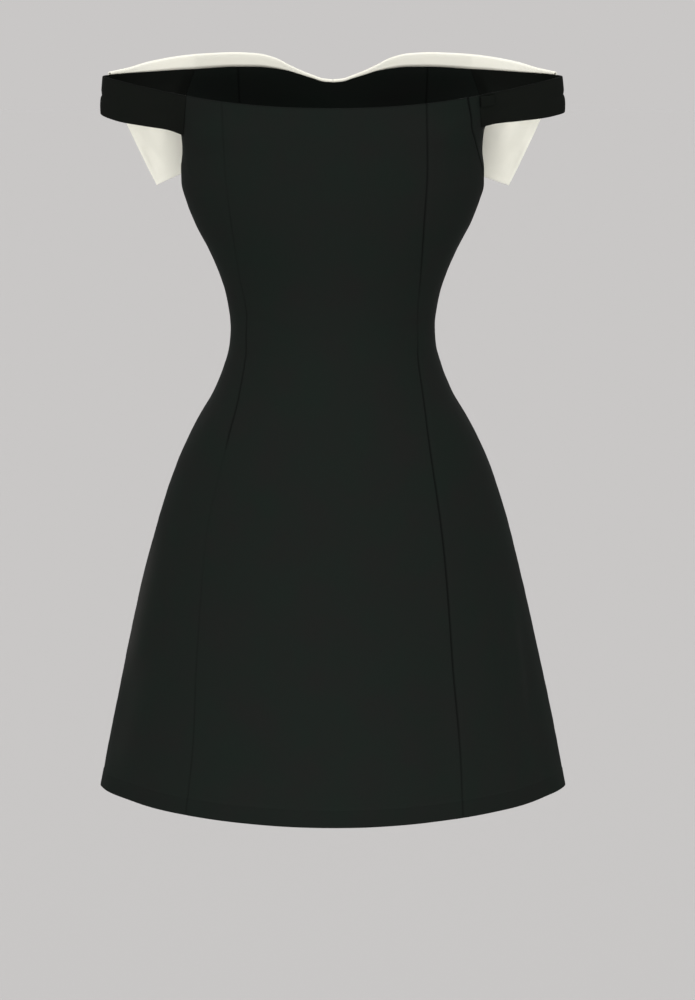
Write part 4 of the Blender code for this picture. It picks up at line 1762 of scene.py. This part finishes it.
@dataclass
class ZipTab:
    """The small cloth tab over the top of the zip, sewn down at one end."""

    band: ArmBand
    width: float = 0.0165
    length: float = 0.0130
    first: float = 0.0
    last: float = 1.5 / 22
    low: float = 2.0 / 3
    high: float = 2.92 / 3
    root_lift: float = 0.0005
    free_lift: float = 0.0018
    belly: float = 0.0004
    clear: float = 0.0009
    cloth: float = 0.0011
    root_shade: float = 0.6
    root_shade_width: float = 0.0009
    even_steps: int = 10
    fine_steps: int = 6

    def make(self, finish: "ClothFinish") -> bpy.types.Object:
        """Makes the tab on the band's own surface, lifting off towards its free end. It
        stands for its solid.

        Args:
            finish: the tab's finish.

        Returns:
            The new object.
        """
        along = self.first + (self.last - self.first) * self.steps(self.width)
        up = self.low + (self.high - self.low) * self.steps(self.length)
        base = self.band.places(along, up)
        facing = grid_normals(base, self.band.side.value.sign)
        run, climb = lengths_along(base, 1), lengths_along(base, 0)
        share = run / run[:, -1:]
        lift = self.root_lift + (self.free_lift - self.root_lift) * share**2
        lift = lift + self.belly * np.sin(np.pi * share) + self.clear
        ends = np.minimum(np.minimum(climb, climb[-1] - climb), run[:, -1:] - run)
        slim = rim(ends, self.cloth / 2)
        outer = base + facing * (lift + self.cloth - slim)[..., None]
        inner = base + facing * (lift + slim)[..., None]
        kept = np.ones((len(up) - 1, len(along) - 1), dtype=bool)
        flat = np.stack([run, climb], -1)
        # shade painted at the sewn-down end
        masks = {"painted_shade": self.root_shade * bell(run, self.root_shade_width)}
        made = Shell("zip_tab", outer, inner, kept, flat, facing, masks).mesh()
        finish.dress(made)
        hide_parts("zip_tab")
        return made

    def steps(self, size: float) -> Array:
        """Shares from 0 to 1 along one way of the tab, finer at its edges."""
        fine = EDGE_STEPS[: self.fine_steps]
        return spread(np.array([size]), self.even_steps, fine, fine)[:, 0] / size


class NodeSheet:
    """Adds and joins the nodes of one node tree."""

    def __init__(self, tree: bpy.types.NodeTree) -> None:
        """Holds the tree, emptied."""
        self.tree = tree
        tree.nodes.clear()

    def add(self, kind: str, **settings: object) -> bpy.types.Node:
        """Adds a node and sets its properties."""
        made = self.tree.nodes.new(kind)
        for name, value in settings.items():
            setattr(made, name, value)
        return made

    def give(self, socket: bpy.types.NodeSocket, value: object) -> None:
        """Joins another node's output to a socket, or sets it to a plain value."""
        if isinstance(value, bpy.types.NodeSocket):
            self.tree.links.new(value, socket)
        else:
            socket.default_value = value

    def fill(self, node: bpy.types.Node, values: dict[str, object]) -> None:
        """Gives a node's inputs their values by name."""
        for name, value in values.items():
            self.give(node.inputs[name], value)

    def math(self, operation: str, *values: object, clamp: bool = False) -> bpy.types.NodeSocket:
        """Adds a Math node.

        Args:
            operation: what it works out.
            values: its sockets or numbers.
            clamp: whether its result is held from 0 to 1.

        Returns:
            Its result.
        """
        made = self.add("ShaderNodeMath", operation=operation, use_clamp=clamp)
        for socket, value in zip(made.inputs, values):
            self.give(socket, value)
        return made.outputs[0]

    def scaled(self, vector: bpy.types.NodeSocket, factor: object) -> bpy.types.NodeSocket:
        """Multiplies a vector by a number or a socket."""
        made = self.add("ShaderNodeVectorMath", operation="SCALE")
        self.fill(made, {"Vector": vector, "Scale": factor})
        return made.outputs[0]

    def mixed(self, factor: object, first: object, second: object) -> bpy.types.NodeSocket:
        """Mixes two colours by a factor."""
        made = self.add("ShaderNodeMix", data_type="RGBA", clamp_factor=True)
        for place, value in ((0, factor), (6, first), (7, second)):
            self.give(made.inputs[place], value)
        return made.outputs[2]

    def blended(self, factor: object, first: object, second: object) -> bpy.types.NodeSocket:
        """Mixes two numbers by a factor."""
        made = self.add("ShaderNodeMix", data_type="FLOAT")
        for place, value in ((0, factor), (2, first), (3, second)):
            self.give(made.inputs[place], value)
        return made.outputs[0]

    def noise(self, vector: bpy.types.NodeSocket, scale: object, detail: float) -> bpy.types.NodeSocket:
        """Adds a noise over a vector, and returns its value, about 0.5."""
        made = self.add("ShaderNodeTexNoise")
        self.fill(made, {"Vector": vector, "Scale": scale, "Detail": detail})
        return made.outputs["Fac"]


def new_group(name: str, inputs: dict[str, tuple[str, object]], outputs: dict[str, str]) -> NodeSheet:
    """Makes a shader node group with named sockets, and its input and output nodes.

    Args:
        name: the group's name.
        inputs: for each input its socket type and its usual value, or None.
        outputs: for each output its socket type.

    Returns:
        A sheet over the group's tree.
    """
    tree = bpy.data.node_groups.new(name, "ShaderNodeTree")
    sheet = NodeSheet(tree)
    for label, (kind, usual) in inputs.items():
        made = tree.interface.new_socket(label, in_out="INPUT", socket_type=kind)
        if usual is not None:
            made.default_value = usual
    for label, kind in outputs.items():
        tree.interface.new_socket(label, in_out="OUTPUT", socket_type=kind)
    return sheet


FLOAT, COLOUR, VECTOR = "NodeSocketFloat", "NodeSocketColor", "NodeSocketVector"

# Weave: how the threads wander, in waves to the metre and in threads each way, the
# slope of the change from one set to the other, and crinkles to the thread
WANDER_SCALE = 180.0
WARP_WANDER = 1.6
WEFT_WANDER = 1.1
TWILL_REPEAT = 1.5
CROSSING_SLOPE = 1.2
CRINKLE_SCALE = 0.55

# Colour and surface: how crisp the clouds are, how far roughness follows them, and the
# strength of the weave's bump
CLOUD_SLOPE = 2.2
CLOUDY_ROUGHNESS = 0.08
BUMP_STRENGTH = 0.6


def woven_group() -> bpy.types.NodeTree:
    """The relief of woven threads. Two sets of rounded threads cross, and which is on
    top changes along a diagonal: a lean of 1 is a twill and of 0 a rib. The grain mixes
    in the crinkle of crepe yarn.

    Returns:
        The group, which gives a height and a tone from 0 to 1.
    """
    sheet = new_group(
        "woven_threads",
        {
            "Cloth": (VECTOR, None),
            "Thread": (FLOAT, 0.0005),
            "Lean": (FLOAT, 1.0),
            "Grain": (FLOAT, 0.3),
        },
        {"Height": FLOAT, "Tone": FLOAT},
    )
    given = sheet.add("NodeGroupInput").outputs
    wander = sheet.noise(given["Cloth"], WANDER_SCALE, 2.0)
    per_metre = sheet.math("DIVIDE", 1.0, given["Thread"])
    threads = sheet.scaled(given["Cloth"], per_metre)
    split = sheet.add("ShaderNodeSeparateXYZ")
    sheet.fill(split, {"Vector": threads})
    wide = sheet.math("MULTIPLY_ADD", wander, WARP_WANDER, split.outputs["X"])
    high = sheet.math("MULTIPLY_ADD", wander, WEFT_WANDER, split.outputs["Y"])
    warp = sheet.math("ABSOLUTE", sheet.math("SINE", sheet.math("MULTIPLY", wide, np.pi)))
    weft = sheet.math("ABSOLUTE", sheet.math("SINE", sheet.math("MULTIPLY", high, np.pi)))
    slant = sheet.math("MULTIPLY_ADD", high, given["Lean"], wide)
    over = sheet.math("SINE", sheet.math("MULTIPLY", slant, np.pi / TWILL_REPEAT))
    top = sheet.math("MULTIPLY_ADD", over, CROSSING_SLOPE, 0.5, clamp=True)
    crossing = sheet.blended(top, weft, warp)
    crinkle = sheet.noise(threads, CRINKLE_SCALE, 3.0)
    both = sheet.blended(given["Grain"], crossing, crinkle)
    sheet.fill(sheet.add("NodeGroupOutput"), {"Height": both, "Tone": both})
    return sheet.tree


def tone_and_painted_light_group() -> bpy.types.NodeTree:
    """How a cloth's colour changes over a piece: broad faint clouds between its colour
    and a second one, a painted sheen that makes it paler along some creases, and painted
    shade that makes it deeper in its seams' grooves, at its edges and on its inner side.

    Returns:
        The group, which gives a colour and a mask of how cloudy each place is.
    """
    sheet = new_group(
        "cloth_colour",
        {
            "Place": (VECTOR, None),
            "Colour": (COLOUR, (0.5, 0.5, 0.5, 1)),
            "Second": (COLOUR, (0.5, 0.5, 0.5, 1)),
            "Deep": (COLOUR, (0.0, 0.0, 0.0, 1)),
            "Pale": (COLOUR, (1.0, 1.0, 1.0, 1)),
            "Cloud Size": (FLOAT, 0.05),
            "Tone": (FLOAT, 0.5),
            "Tone Share": (FLOAT, 0.1),
            "Painted Shade": (FLOAT, 0.0),
            "Painted Sheen": (FLOAT, 0.0),
            "Wrong Side": (FLOAT, 0.0),
            "Inside Shade Share": (FLOAT, 0.3),
        },
        {"Colour": COLOUR, "Cloud": FLOAT},
    )
    given = sheet.add("NodeGroupInput").outputs
    per_metre = sheet.math("DIVIDE", 1.0, given["Cloud Size"])
    cloud = sheet.noise(given["Place"], per_metre, 3.0)
    uneven = sheet.math("SUBTRACT", cloud, 0.5)
    clear = sheet.math("MULTIPLY_ADD", uneven, CLOUD_SLOPE, 0.5, clamp=True)
    cloudy = sheet.mixed(clear, given["Colour"], given["Second"])
    low = sheet.math("SUBTRACT", 1.0, given["Tone"])
    toned = sheet.mixed(sheet.math("MULTIPLY", low, given["Tone Share"]), cloudy, given["Deep"])
    painted_sheen = sheet.mixed(given["Painted Sheen"], toned, given["Pale"])
    shaded_colour = sheet.mixed(given["Painted Shade"], painted_sheen, given["Deep"])
    # the inner side is painted darker, as shade
    turned = sheet.math("MULTIPLY", given["Wrong Side"], given["Inside Shade Share"])
    whole = sheet.mixed(turned, shaded_colour, given["Deep"])
    sheet.fill(sheet.add("NodeGroupOutput"), {"Colour": whole, "Cloud": clear})
    return sheet.tree


class Yarn(Enum):
    """How a cloth is woven: its lean, its share of crepe grain and its bump's depth."""

    CREPE = (1.0, 0.55, 0.00010)
    TWILL = (1.0, 0.20, 0.00009)
    TAPE = (0.0, 0.10, 0.00012)
    COIL = (0.0, 0.90, 0.00003)


@dataclass(frozen=True)
class ClothFinish:
    """A cloth's finish. Colours are linear. The deep colour darkens the weave's tone and is
    mixed in as painted shade, and the pale one is mixed in as a painted sheen.
    """

    name: str
    slot: str
    colour: tuple[float, float, float]
    second: tuple[float, float, float]
    deep: tuple[float, float, float]
    pale: tuple[float, float, float]
    yarn: Yarn
    thread: float
    roughness: float
    specular: float
    sheen: float
    sheen_roughness: float
    sheen_tint: tuple[float, float, float]
    cloud_size: float = 0.045
    tone_share: float = 0.12
    # how far the inner side is painted towards the deep colour, as shade
    inside_shade_share: float = 0.0

    def material(self) -> bpy.types.Material:
        """The finish as a material, made once."""
        if self.name in bpy.data.materials:
            return bpy.data.materials[self.name]
        made = bpy.data.materials.new(self.name)
        made.use_nodes = True
        sheet = NodeSheet(made.node_tree)
        cloth = sheet.add("ShaderNodeUVMap", uv_map="cloth").outputs["UV"]
        place = sheet.add("ShaderNodeTexCoord").outputs["Object"]
        # These masks paint shade in seams and at edges, and a sheen along some creases, into the base
        # colour; the inner side is painted darker as shade.
        painted_shade, painted_sheen, wrong = (
            sheet.add("ShaderNodeAttribute", attribute_name=name).outputs["Fac"]
            for name in ("painted_shade", "painted_sheen", "wrong_side")
        )

        lean, grain, relief = self.yarn.value
        woven = sheet.add("ShaderNodeGroup", node_tree=bpy.data.node_groups["woven_threads"])
        sheet.fill(woven, {"Cloth": cloth, "Thread": self.thread, "Lean": lean, "Grain": grain})
        tone_and_painted_light = sheet.add("ShaderNodeGroup", node_tree=bpy.data.node_groups["cloth_colour"])
        sheet.fill(
            tone_and_painted_light,
            {
                "Place": place,
                "Colour": (*self.colour, 1),
                "Second": (*self.second, 1),
                "Deep": (*self.deep, 1),
                "Pale": (*self.pale, 1),
                "Cloud Size": self.cloud_size,
                "Tone": woven.outputs["Tone"],
                "Tone Share": self.tone_share,
                "Painted Shade": painted_shade,
                "Painted Sheen": painted_sheen,
                "Wrong Side": wrong,
                "Inside Shade Share": self.inside_shade_share,
            },
        )
        low = self.roughness - CLOUDY_ROUGHNESS / 2
        cloud = tone_and_painted_light.outputs["Cloud"]
        rough = sheet.math("MULTIPLY_ADD", cloud, CLOUDY_ROUGHNESS, low, clamp=True)
        bump = sheet.add("ShaderNodeBump")
        height = woven.outputs["Height"]
        sheet.fill(bump, {"Height": height, "Strength": BUMP_STRENGTH, "Distance": relief})
        shader = sheet.add("ShaderNodeBsdfPrincipled")
        sheet.fill(
            shader,
            {
                "Base Color": tone_and_painted_light.outputs["Colour"],
                "Roughness": rough,
                "Normal": bump.outputs["Normal"],
                "Specular IOR Level": self.specular,
                "Sheen Weight": self.sheen,
                "Sheen Roughness": self.sheen_roughness,
                "Sheen Tint": (*self.sheen_tint, 1),
            },
        )
        out = sheet.add("ShaderNodeOutputMaterial")
        sheet.tree.links.new(shader.outputs[0], out.inputs["Surface"])
        made.diffuse_color = (*self.colour, 1)
        return made

    def dress(self, piece: bpy.types.Object) -> None:
        """Gives a piece this finish and lets it ride on the dress."""
        piece.data.materials.clear()
        piece.data.materials.append(self.material())
        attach(piece, "root")


BLACK_CREPE = ClothFinish(
    name="black_crepe",
    slot="black_cloth",
    colour=(0.0063, 0.0095, 0.0076),
    second=(0.0080, 0.0089, 0.0080),
    deep=(0.0010, 0.0011, 0.0010),
    pale=(0.0240, 0.0240, 0.0225),
    yarn=Yarn.CREPE,
    thread=0.00050,
    roughness=0.82,
    specular=0.04,
    sheen=0.004,
    sheen_roughness=0.55,
    sheen_tint=(0.80, 0.84, 0.82),
    inside_shade_share=0.30,
)
# A darker copy of the black crepe: shade painted on the arm bands and the zip tab.
BLACK_CREPE_SHADED = ClothFinish(
    name="black_crepe_shaded",
    slot="black_cloth",
    colour=(0.0048, 0.0061, 0.0048),
    second=(0.0055, 0.0060, 0.0052),
    deep=(0.0008, 0.0009, 0.0008),
    pale=(0.0160, 0.0160, 0.0150),
    yarn=Yarn.CREPE,
    thread=0.00050,
    roughness=0.84,
    specular=0.03,
    sheen=0.003,
    sheen_roughness=0.55,
    sheen_tint=(0.80, 0.84, 0.82),
    inside_shade_share=0.30,
)
IVORY_CREPE = ClothFinish(
    name="ivory_crepe",
    slot="ivory_cloth",
    colour=(0.838, 0.824, 0.727),
    second=(0.816, 0.808, 0.722),
    deep=(0.420, 0.400, 0.330),
    pale=(0.900, 0.890, 0.820),
    yarn=Yarn.TWILL,
    thread=0.00045,
    roughness=0.72,
    specular=0.25,
    sheen=0.08,
    sheen_roughness=0.50,
    sheen_tint=(1.0, 0.99, 0.95),
    tone_share=0.10,
)
ZIP_TAPE = ClothFinish(
    name="zip_tape",
    slot="zip_tape",
    colour=(0.0085, 0.0090, 0.0086),
    second=(0.0095, 0.0098, 0.0094),
    deep=(0.0010, 0.0010, 0.0010),
    pale=(0.0200, 0.0200, 0.0200),
    yarn=Yarn.TAPE,
    thread=0.00060,
    roughness=0.70,
    specular=0.20,
    sheen=0.02,
    sheen_roughness=0.40,
    sheen_tint=(0.8, 0.8, 0.8),
)
ZIP_COIL = ClothFinish(
    name="zip_coil",
    slot="zip_tape",
    colour=(0.0100, 0.0102, 0.0100),
    second=(0.0110, 0.0112, 0.0110),
    deep=(0.0020, 0.0020, 0.0020),
    pale=(0.0240, 0.0240, 0.0240),
    yarn=Yarn.COIL,
    thread=0.00100,
    roughness=0.38,
    specular=0.45,
    sheen=0.0,
    sheen_roughness=0.5,
    sheen_tint=(1.0, 1.0, 1.0),
)


SUN_SAMPLES = 200
FLOOR_SIDES = 64


class Sun(NamedTuple):
    """A broad soft light from far away: where it comes from, its strength and its
    width in degrees."""

    azimuth: float
    elevation: float
    strength: float
    width: float

    def on_floor(self) -> float:
        """How strongly it lights a level floor. Its disc seen flat on is evenly bright,
        each place on it shines on the floor by the sine of its elevation over the cosine
        of its distance from the middle, and a place under the horizon gives nothing.

        Returns:
            The strength of a small sun straight above that would light it as much.
        """
        share = (np.arange(SUN_SAMPLES) + 0.5) / SUN_SAMPLES
        radius, turn = np.meshgrid(np.sqrt(share), 2 * np.pi * share)
        aside = np.tan(np.arcsin(radius * np.sin(np.radians(self.width / 2))))
        middle = np.radians(self.elevation)
        shining = np.sin(middle) + np.cos(middle) * aside * np.sin(turn)
        return self.strength * float(np.maximum(shining, 0).mean())


class Card(NamedTuple):
    """A square white card low beside the dress, which throws soft light up at it and
    none on the floor."""

    azimuth: float
    distance: float
    height: float
    size: float
    watts: float


@dataclass(frozen=True)
class Studio:
    """The pale floor and air, the soft light, and the photograph's camera."""

    aim: tuple[float, float, float] = (-0.01558, 0.0, -0.18540)
    azimuth: float = 180.0
    elevation: float = 10.0
    distance: float = 3.2
    focal_pixels: float = 3018.87
    picture_height: float = 1000.0
    sensor: float = 36.0
    air: tuple[float, float, float] = (0.584, 0.571, 0.565)
    floor_height: float = -1.60
    floor_radius: float = 40.0
    suns: tuple[Sun, ...] = (
        Sun(174.0, 20.0, 1.05, 60.0),
        Sun(135.0, 50.0, 0.75, 70.0),
        Sun(-135.0, 50.0, 0.75, 70.0),
        Sun(6.0, 20.0, 0.60, 60.0),
        Sun(42.0, 50.0, 0.42, 70.0),
        Sun(-42.0, 50.0, 0.42, 70.0),
    )
    cards: tuple[Card, ...] = (
        Card(180.0, 2.1, -0.75, 1.6, 26.0),
        Card(0.0, 2.1, -0.75, 1.6, 6.0),
    )

    def towards(self, azimuth: float, elevation: float) -> Vector:
        """The way to a place in the air: azimuth 0 is in front, at -Y."""
        a, e = np.radians(azimuth), np.radians(elevation)
        return Vector((np.sin(a) * np.cos(e), -np.cos(a) * np.cos(e), np.sin(e)))

    def camera(self) -> None:
        """Places the camera where the photograph was taken from."""
        data = bpy.data.cameras.new("camera")
        data.sensor_width = self.sensor
        data.lens = self.sensor * self.focal_pixels / self.picture_height
        made = bpy.data.objects.new("camera", data)
        back = self.towards(self.azimuth, self.elevation)
        made.location = Vector(self.aim) + back * self.distance
        made.rotation_mode = "QUATERNION"
        made.rotation_quaternion = (-back).to_track_quat("-Z", "Y")
        bpy.context.scene.collection.objects.link(made)
        bpy.context.scene.camera = made

    def lights(self) -> None:
        """Lights the dress evenly from the air all round, softly from the suns, and from
        the cards below, which light nothing but the dress."""
        dress = bpy.data.collections.new("dress")
        for piece in bpy.context.scene.objects:
            if piece.type == "MESH":
                dress.objects.link(piece)
        world = bpy.data.worlds.new("air")
        world.use_nodes = True
        world.node_tree.nodes["Background"].inputs["Color"].default_value = (*self.air, 1)
        bpy.context.scene.world = world
        for i, sun in enumerate(self.suns):
            data = bpy.data.lights.new(f"sun_{i}", "SUN")
            data.energy = sun.strength
            data.angle = np.radians(sun.width)
            self.shine(data, self.towards(sun.azimuth, sun.elevation))
        for i, card in enumerate(self.cards):
            data = bpy.data.lights.new(f"card_{i}", "AREA")
            data.energy = card.watts
            data.size = card.size
            place = self.towards(card.azimuth, 0.0) * card.distance
            place.z = card.height
            made = self.shine(data, place)
            made.location = place
            made.visible_camera = False
            made.light_linking.receiver_collection = dress

    def shine(self, data: bpy.types.Light, way: Vector) -> bpy.types.Object:
        """Adds a light that shines from a place in the air towards the origin.

        Args:
            data: the light.
            way: the way to the place that it shines from.

        Returns:
            The new object, at the origin.
        """
        made = bpy.data.objects.new(data.name, data)
        made.rotation_mode = "QUATERNION"
        made.rotation_quaternion = way.to_track_quat("Z", "Y")
        bpy.context.scene.collection.objects.link(made)
        return made

    def floor(self) -> None:
        """Lays a plain floor far below. Its paint is as dark as makes it look like the
        air, from the light that the suns add."""
        added = sum(sun.on_floor() for sun in self.suns) / np.pi
        paint = [air / (air + added) for air in self.air]
        turn = np.linspace(0, 2 * np.pi, FLOOR_SIDES, endpoint=False)
        edge = np.stack([np.cos(turn), np.sin(turn)], -1) * self.floor_radius
        level = np.full((FLOOR_SIDES, 1), self.floor_height)
        data = bpy.data.meshes.new("floor")
        data.from_pydata(np.hstack([edge, level]).tolist(), [], [list(range(FLOOR_SIDES))])
        made = bpy.data.objects.new("floor", data)
        bpy.context.scene.collection.objects.link(made)
        painted = bpy.data.materials.new("floor_paint")
        painted.use_nodes = True
        shader = painted.node_tree.nodes["Principled BSDF"]
        shader.inputs["Base Color"].default_value = (*paint, 1)
        shader.inputs["Roughness"].default_value = 1.0
        shader.inputs["Specular IOR Level"].default_value = 0.0
        data.materials.append(painted)

    def build(self) -> None:
        """Makes the camera, the lights and the floor."""
        self.camera()
        self.lights()
        self.floor()
        bpy.context.scene.view_settings.view_transform = "Standard"


def dress_panels() -> list[Panel]:
    """The six panels of the dress, each between its first and its last line.

    Returns:
        The panels, in the order in which they are made.
    """
    back_neck, front_neck = PATTERN.back_neck, PATTERN.front_neck
    back_left, back_right = (PATTERN.back_princess(side) for side in Side)
    front_left, front_right = (PATTERN.front_princess(side) for side in Side)
    left_side, right_side = (PATTERN.side_seam(side) for side in Side)
    left_back_root, right_back_root = (PATTERN.back_root(side) for side in Side)
    left_front_root, right_front_root = (PATTERN.front_root(side) for side in Side)
    front_right_beyond = PATTERN.front_princess(Side.RIGHT, 1)
    return [
        Panel(
            "back_centre",
            (Span(back_right, back_left, 84, back_neck),),
            BACK_RIGHT_SEAM, BACK_LEFT_SEAM, width=0.305, length=0.745, area=0.1783,
        ),
        Panel(
            "back_side_left",
            (
                Span(back_left, left_back_root, 26, back_neck),
                Span(left_back_root, left_side, 22, None),
            ),
            BACK_LEFT_SEAM, LEFT_SIDE_SEAM, width=0.155, length=0.755, area=0.0720,
        ),
        Panel(
            "back_side_right",
            (Span(back_right, right_side, 46, back_neck),),
            BACK_RIGHT_SEAM, RIGHT_SIDE_SEAM, width=0.165, length=0.760, area=0.0791,
        ),
        Panel(
            "front_centre",
            (Span(front_left, front_right_beyond, 84, front_neck),),
            FRONT_LEFT_SEAM, FRONT_RIGHT_SEAM, width=0.280, length=0.785, area=0.1648,
        ),
        Panel(
            "front_side_left",
            (
                Span(left_side, left_front_root, 34, None),
                Span(left_front_root, front_left, 18, front_neck),
            ),
            LEFT_SIDE_SEAM, FRONT_LEFT_SEAM, width=0.175, length=0.790, area=0.0915,
        ),
        Panel(
            "front_side_right",
            (
                Span(right_side, right_back_root, 6, back_neck),
                Span(right_back_root, right_front_root, 30, None),
                Span(right_front_root, front_right, 18, front_neck),
            ),
            RIGHT_SIDE_SEAM, FRONT_RIGHT_SEAM, width=0.185, length=0.790, area=0.0975,
        ),
    ]


def main() -> None:
    """Builds every piece in order, logs its faces, then builds the studio round them."""
    logging.basicConfig(level=logging.INFO, format="%(message)s")
    woven_group()
    tone_and_painted_light_group()
    made = [panel.make(BLACK_CREPE) for panel in dress_panels()]
    for side in Side:
        band = ArmBand(side)
        made.append(band.make(BLACK_CREPE_SHADED))
        made.append(Collar(side, band).make(IVORY_CREPE))
        if side is Side.RIGHT:
            made.append(ZipTab(band).make(BLACK_CREPE_SHADED))
    made += SideZip().make(ZIP_TAPE, ZIP_COIL)
    for piece in made:
        LOG.info("%s: %d faces", piece.name, len(piece.data.polygons))
    Studio().build()


if __name__ == "__main__":
    main()
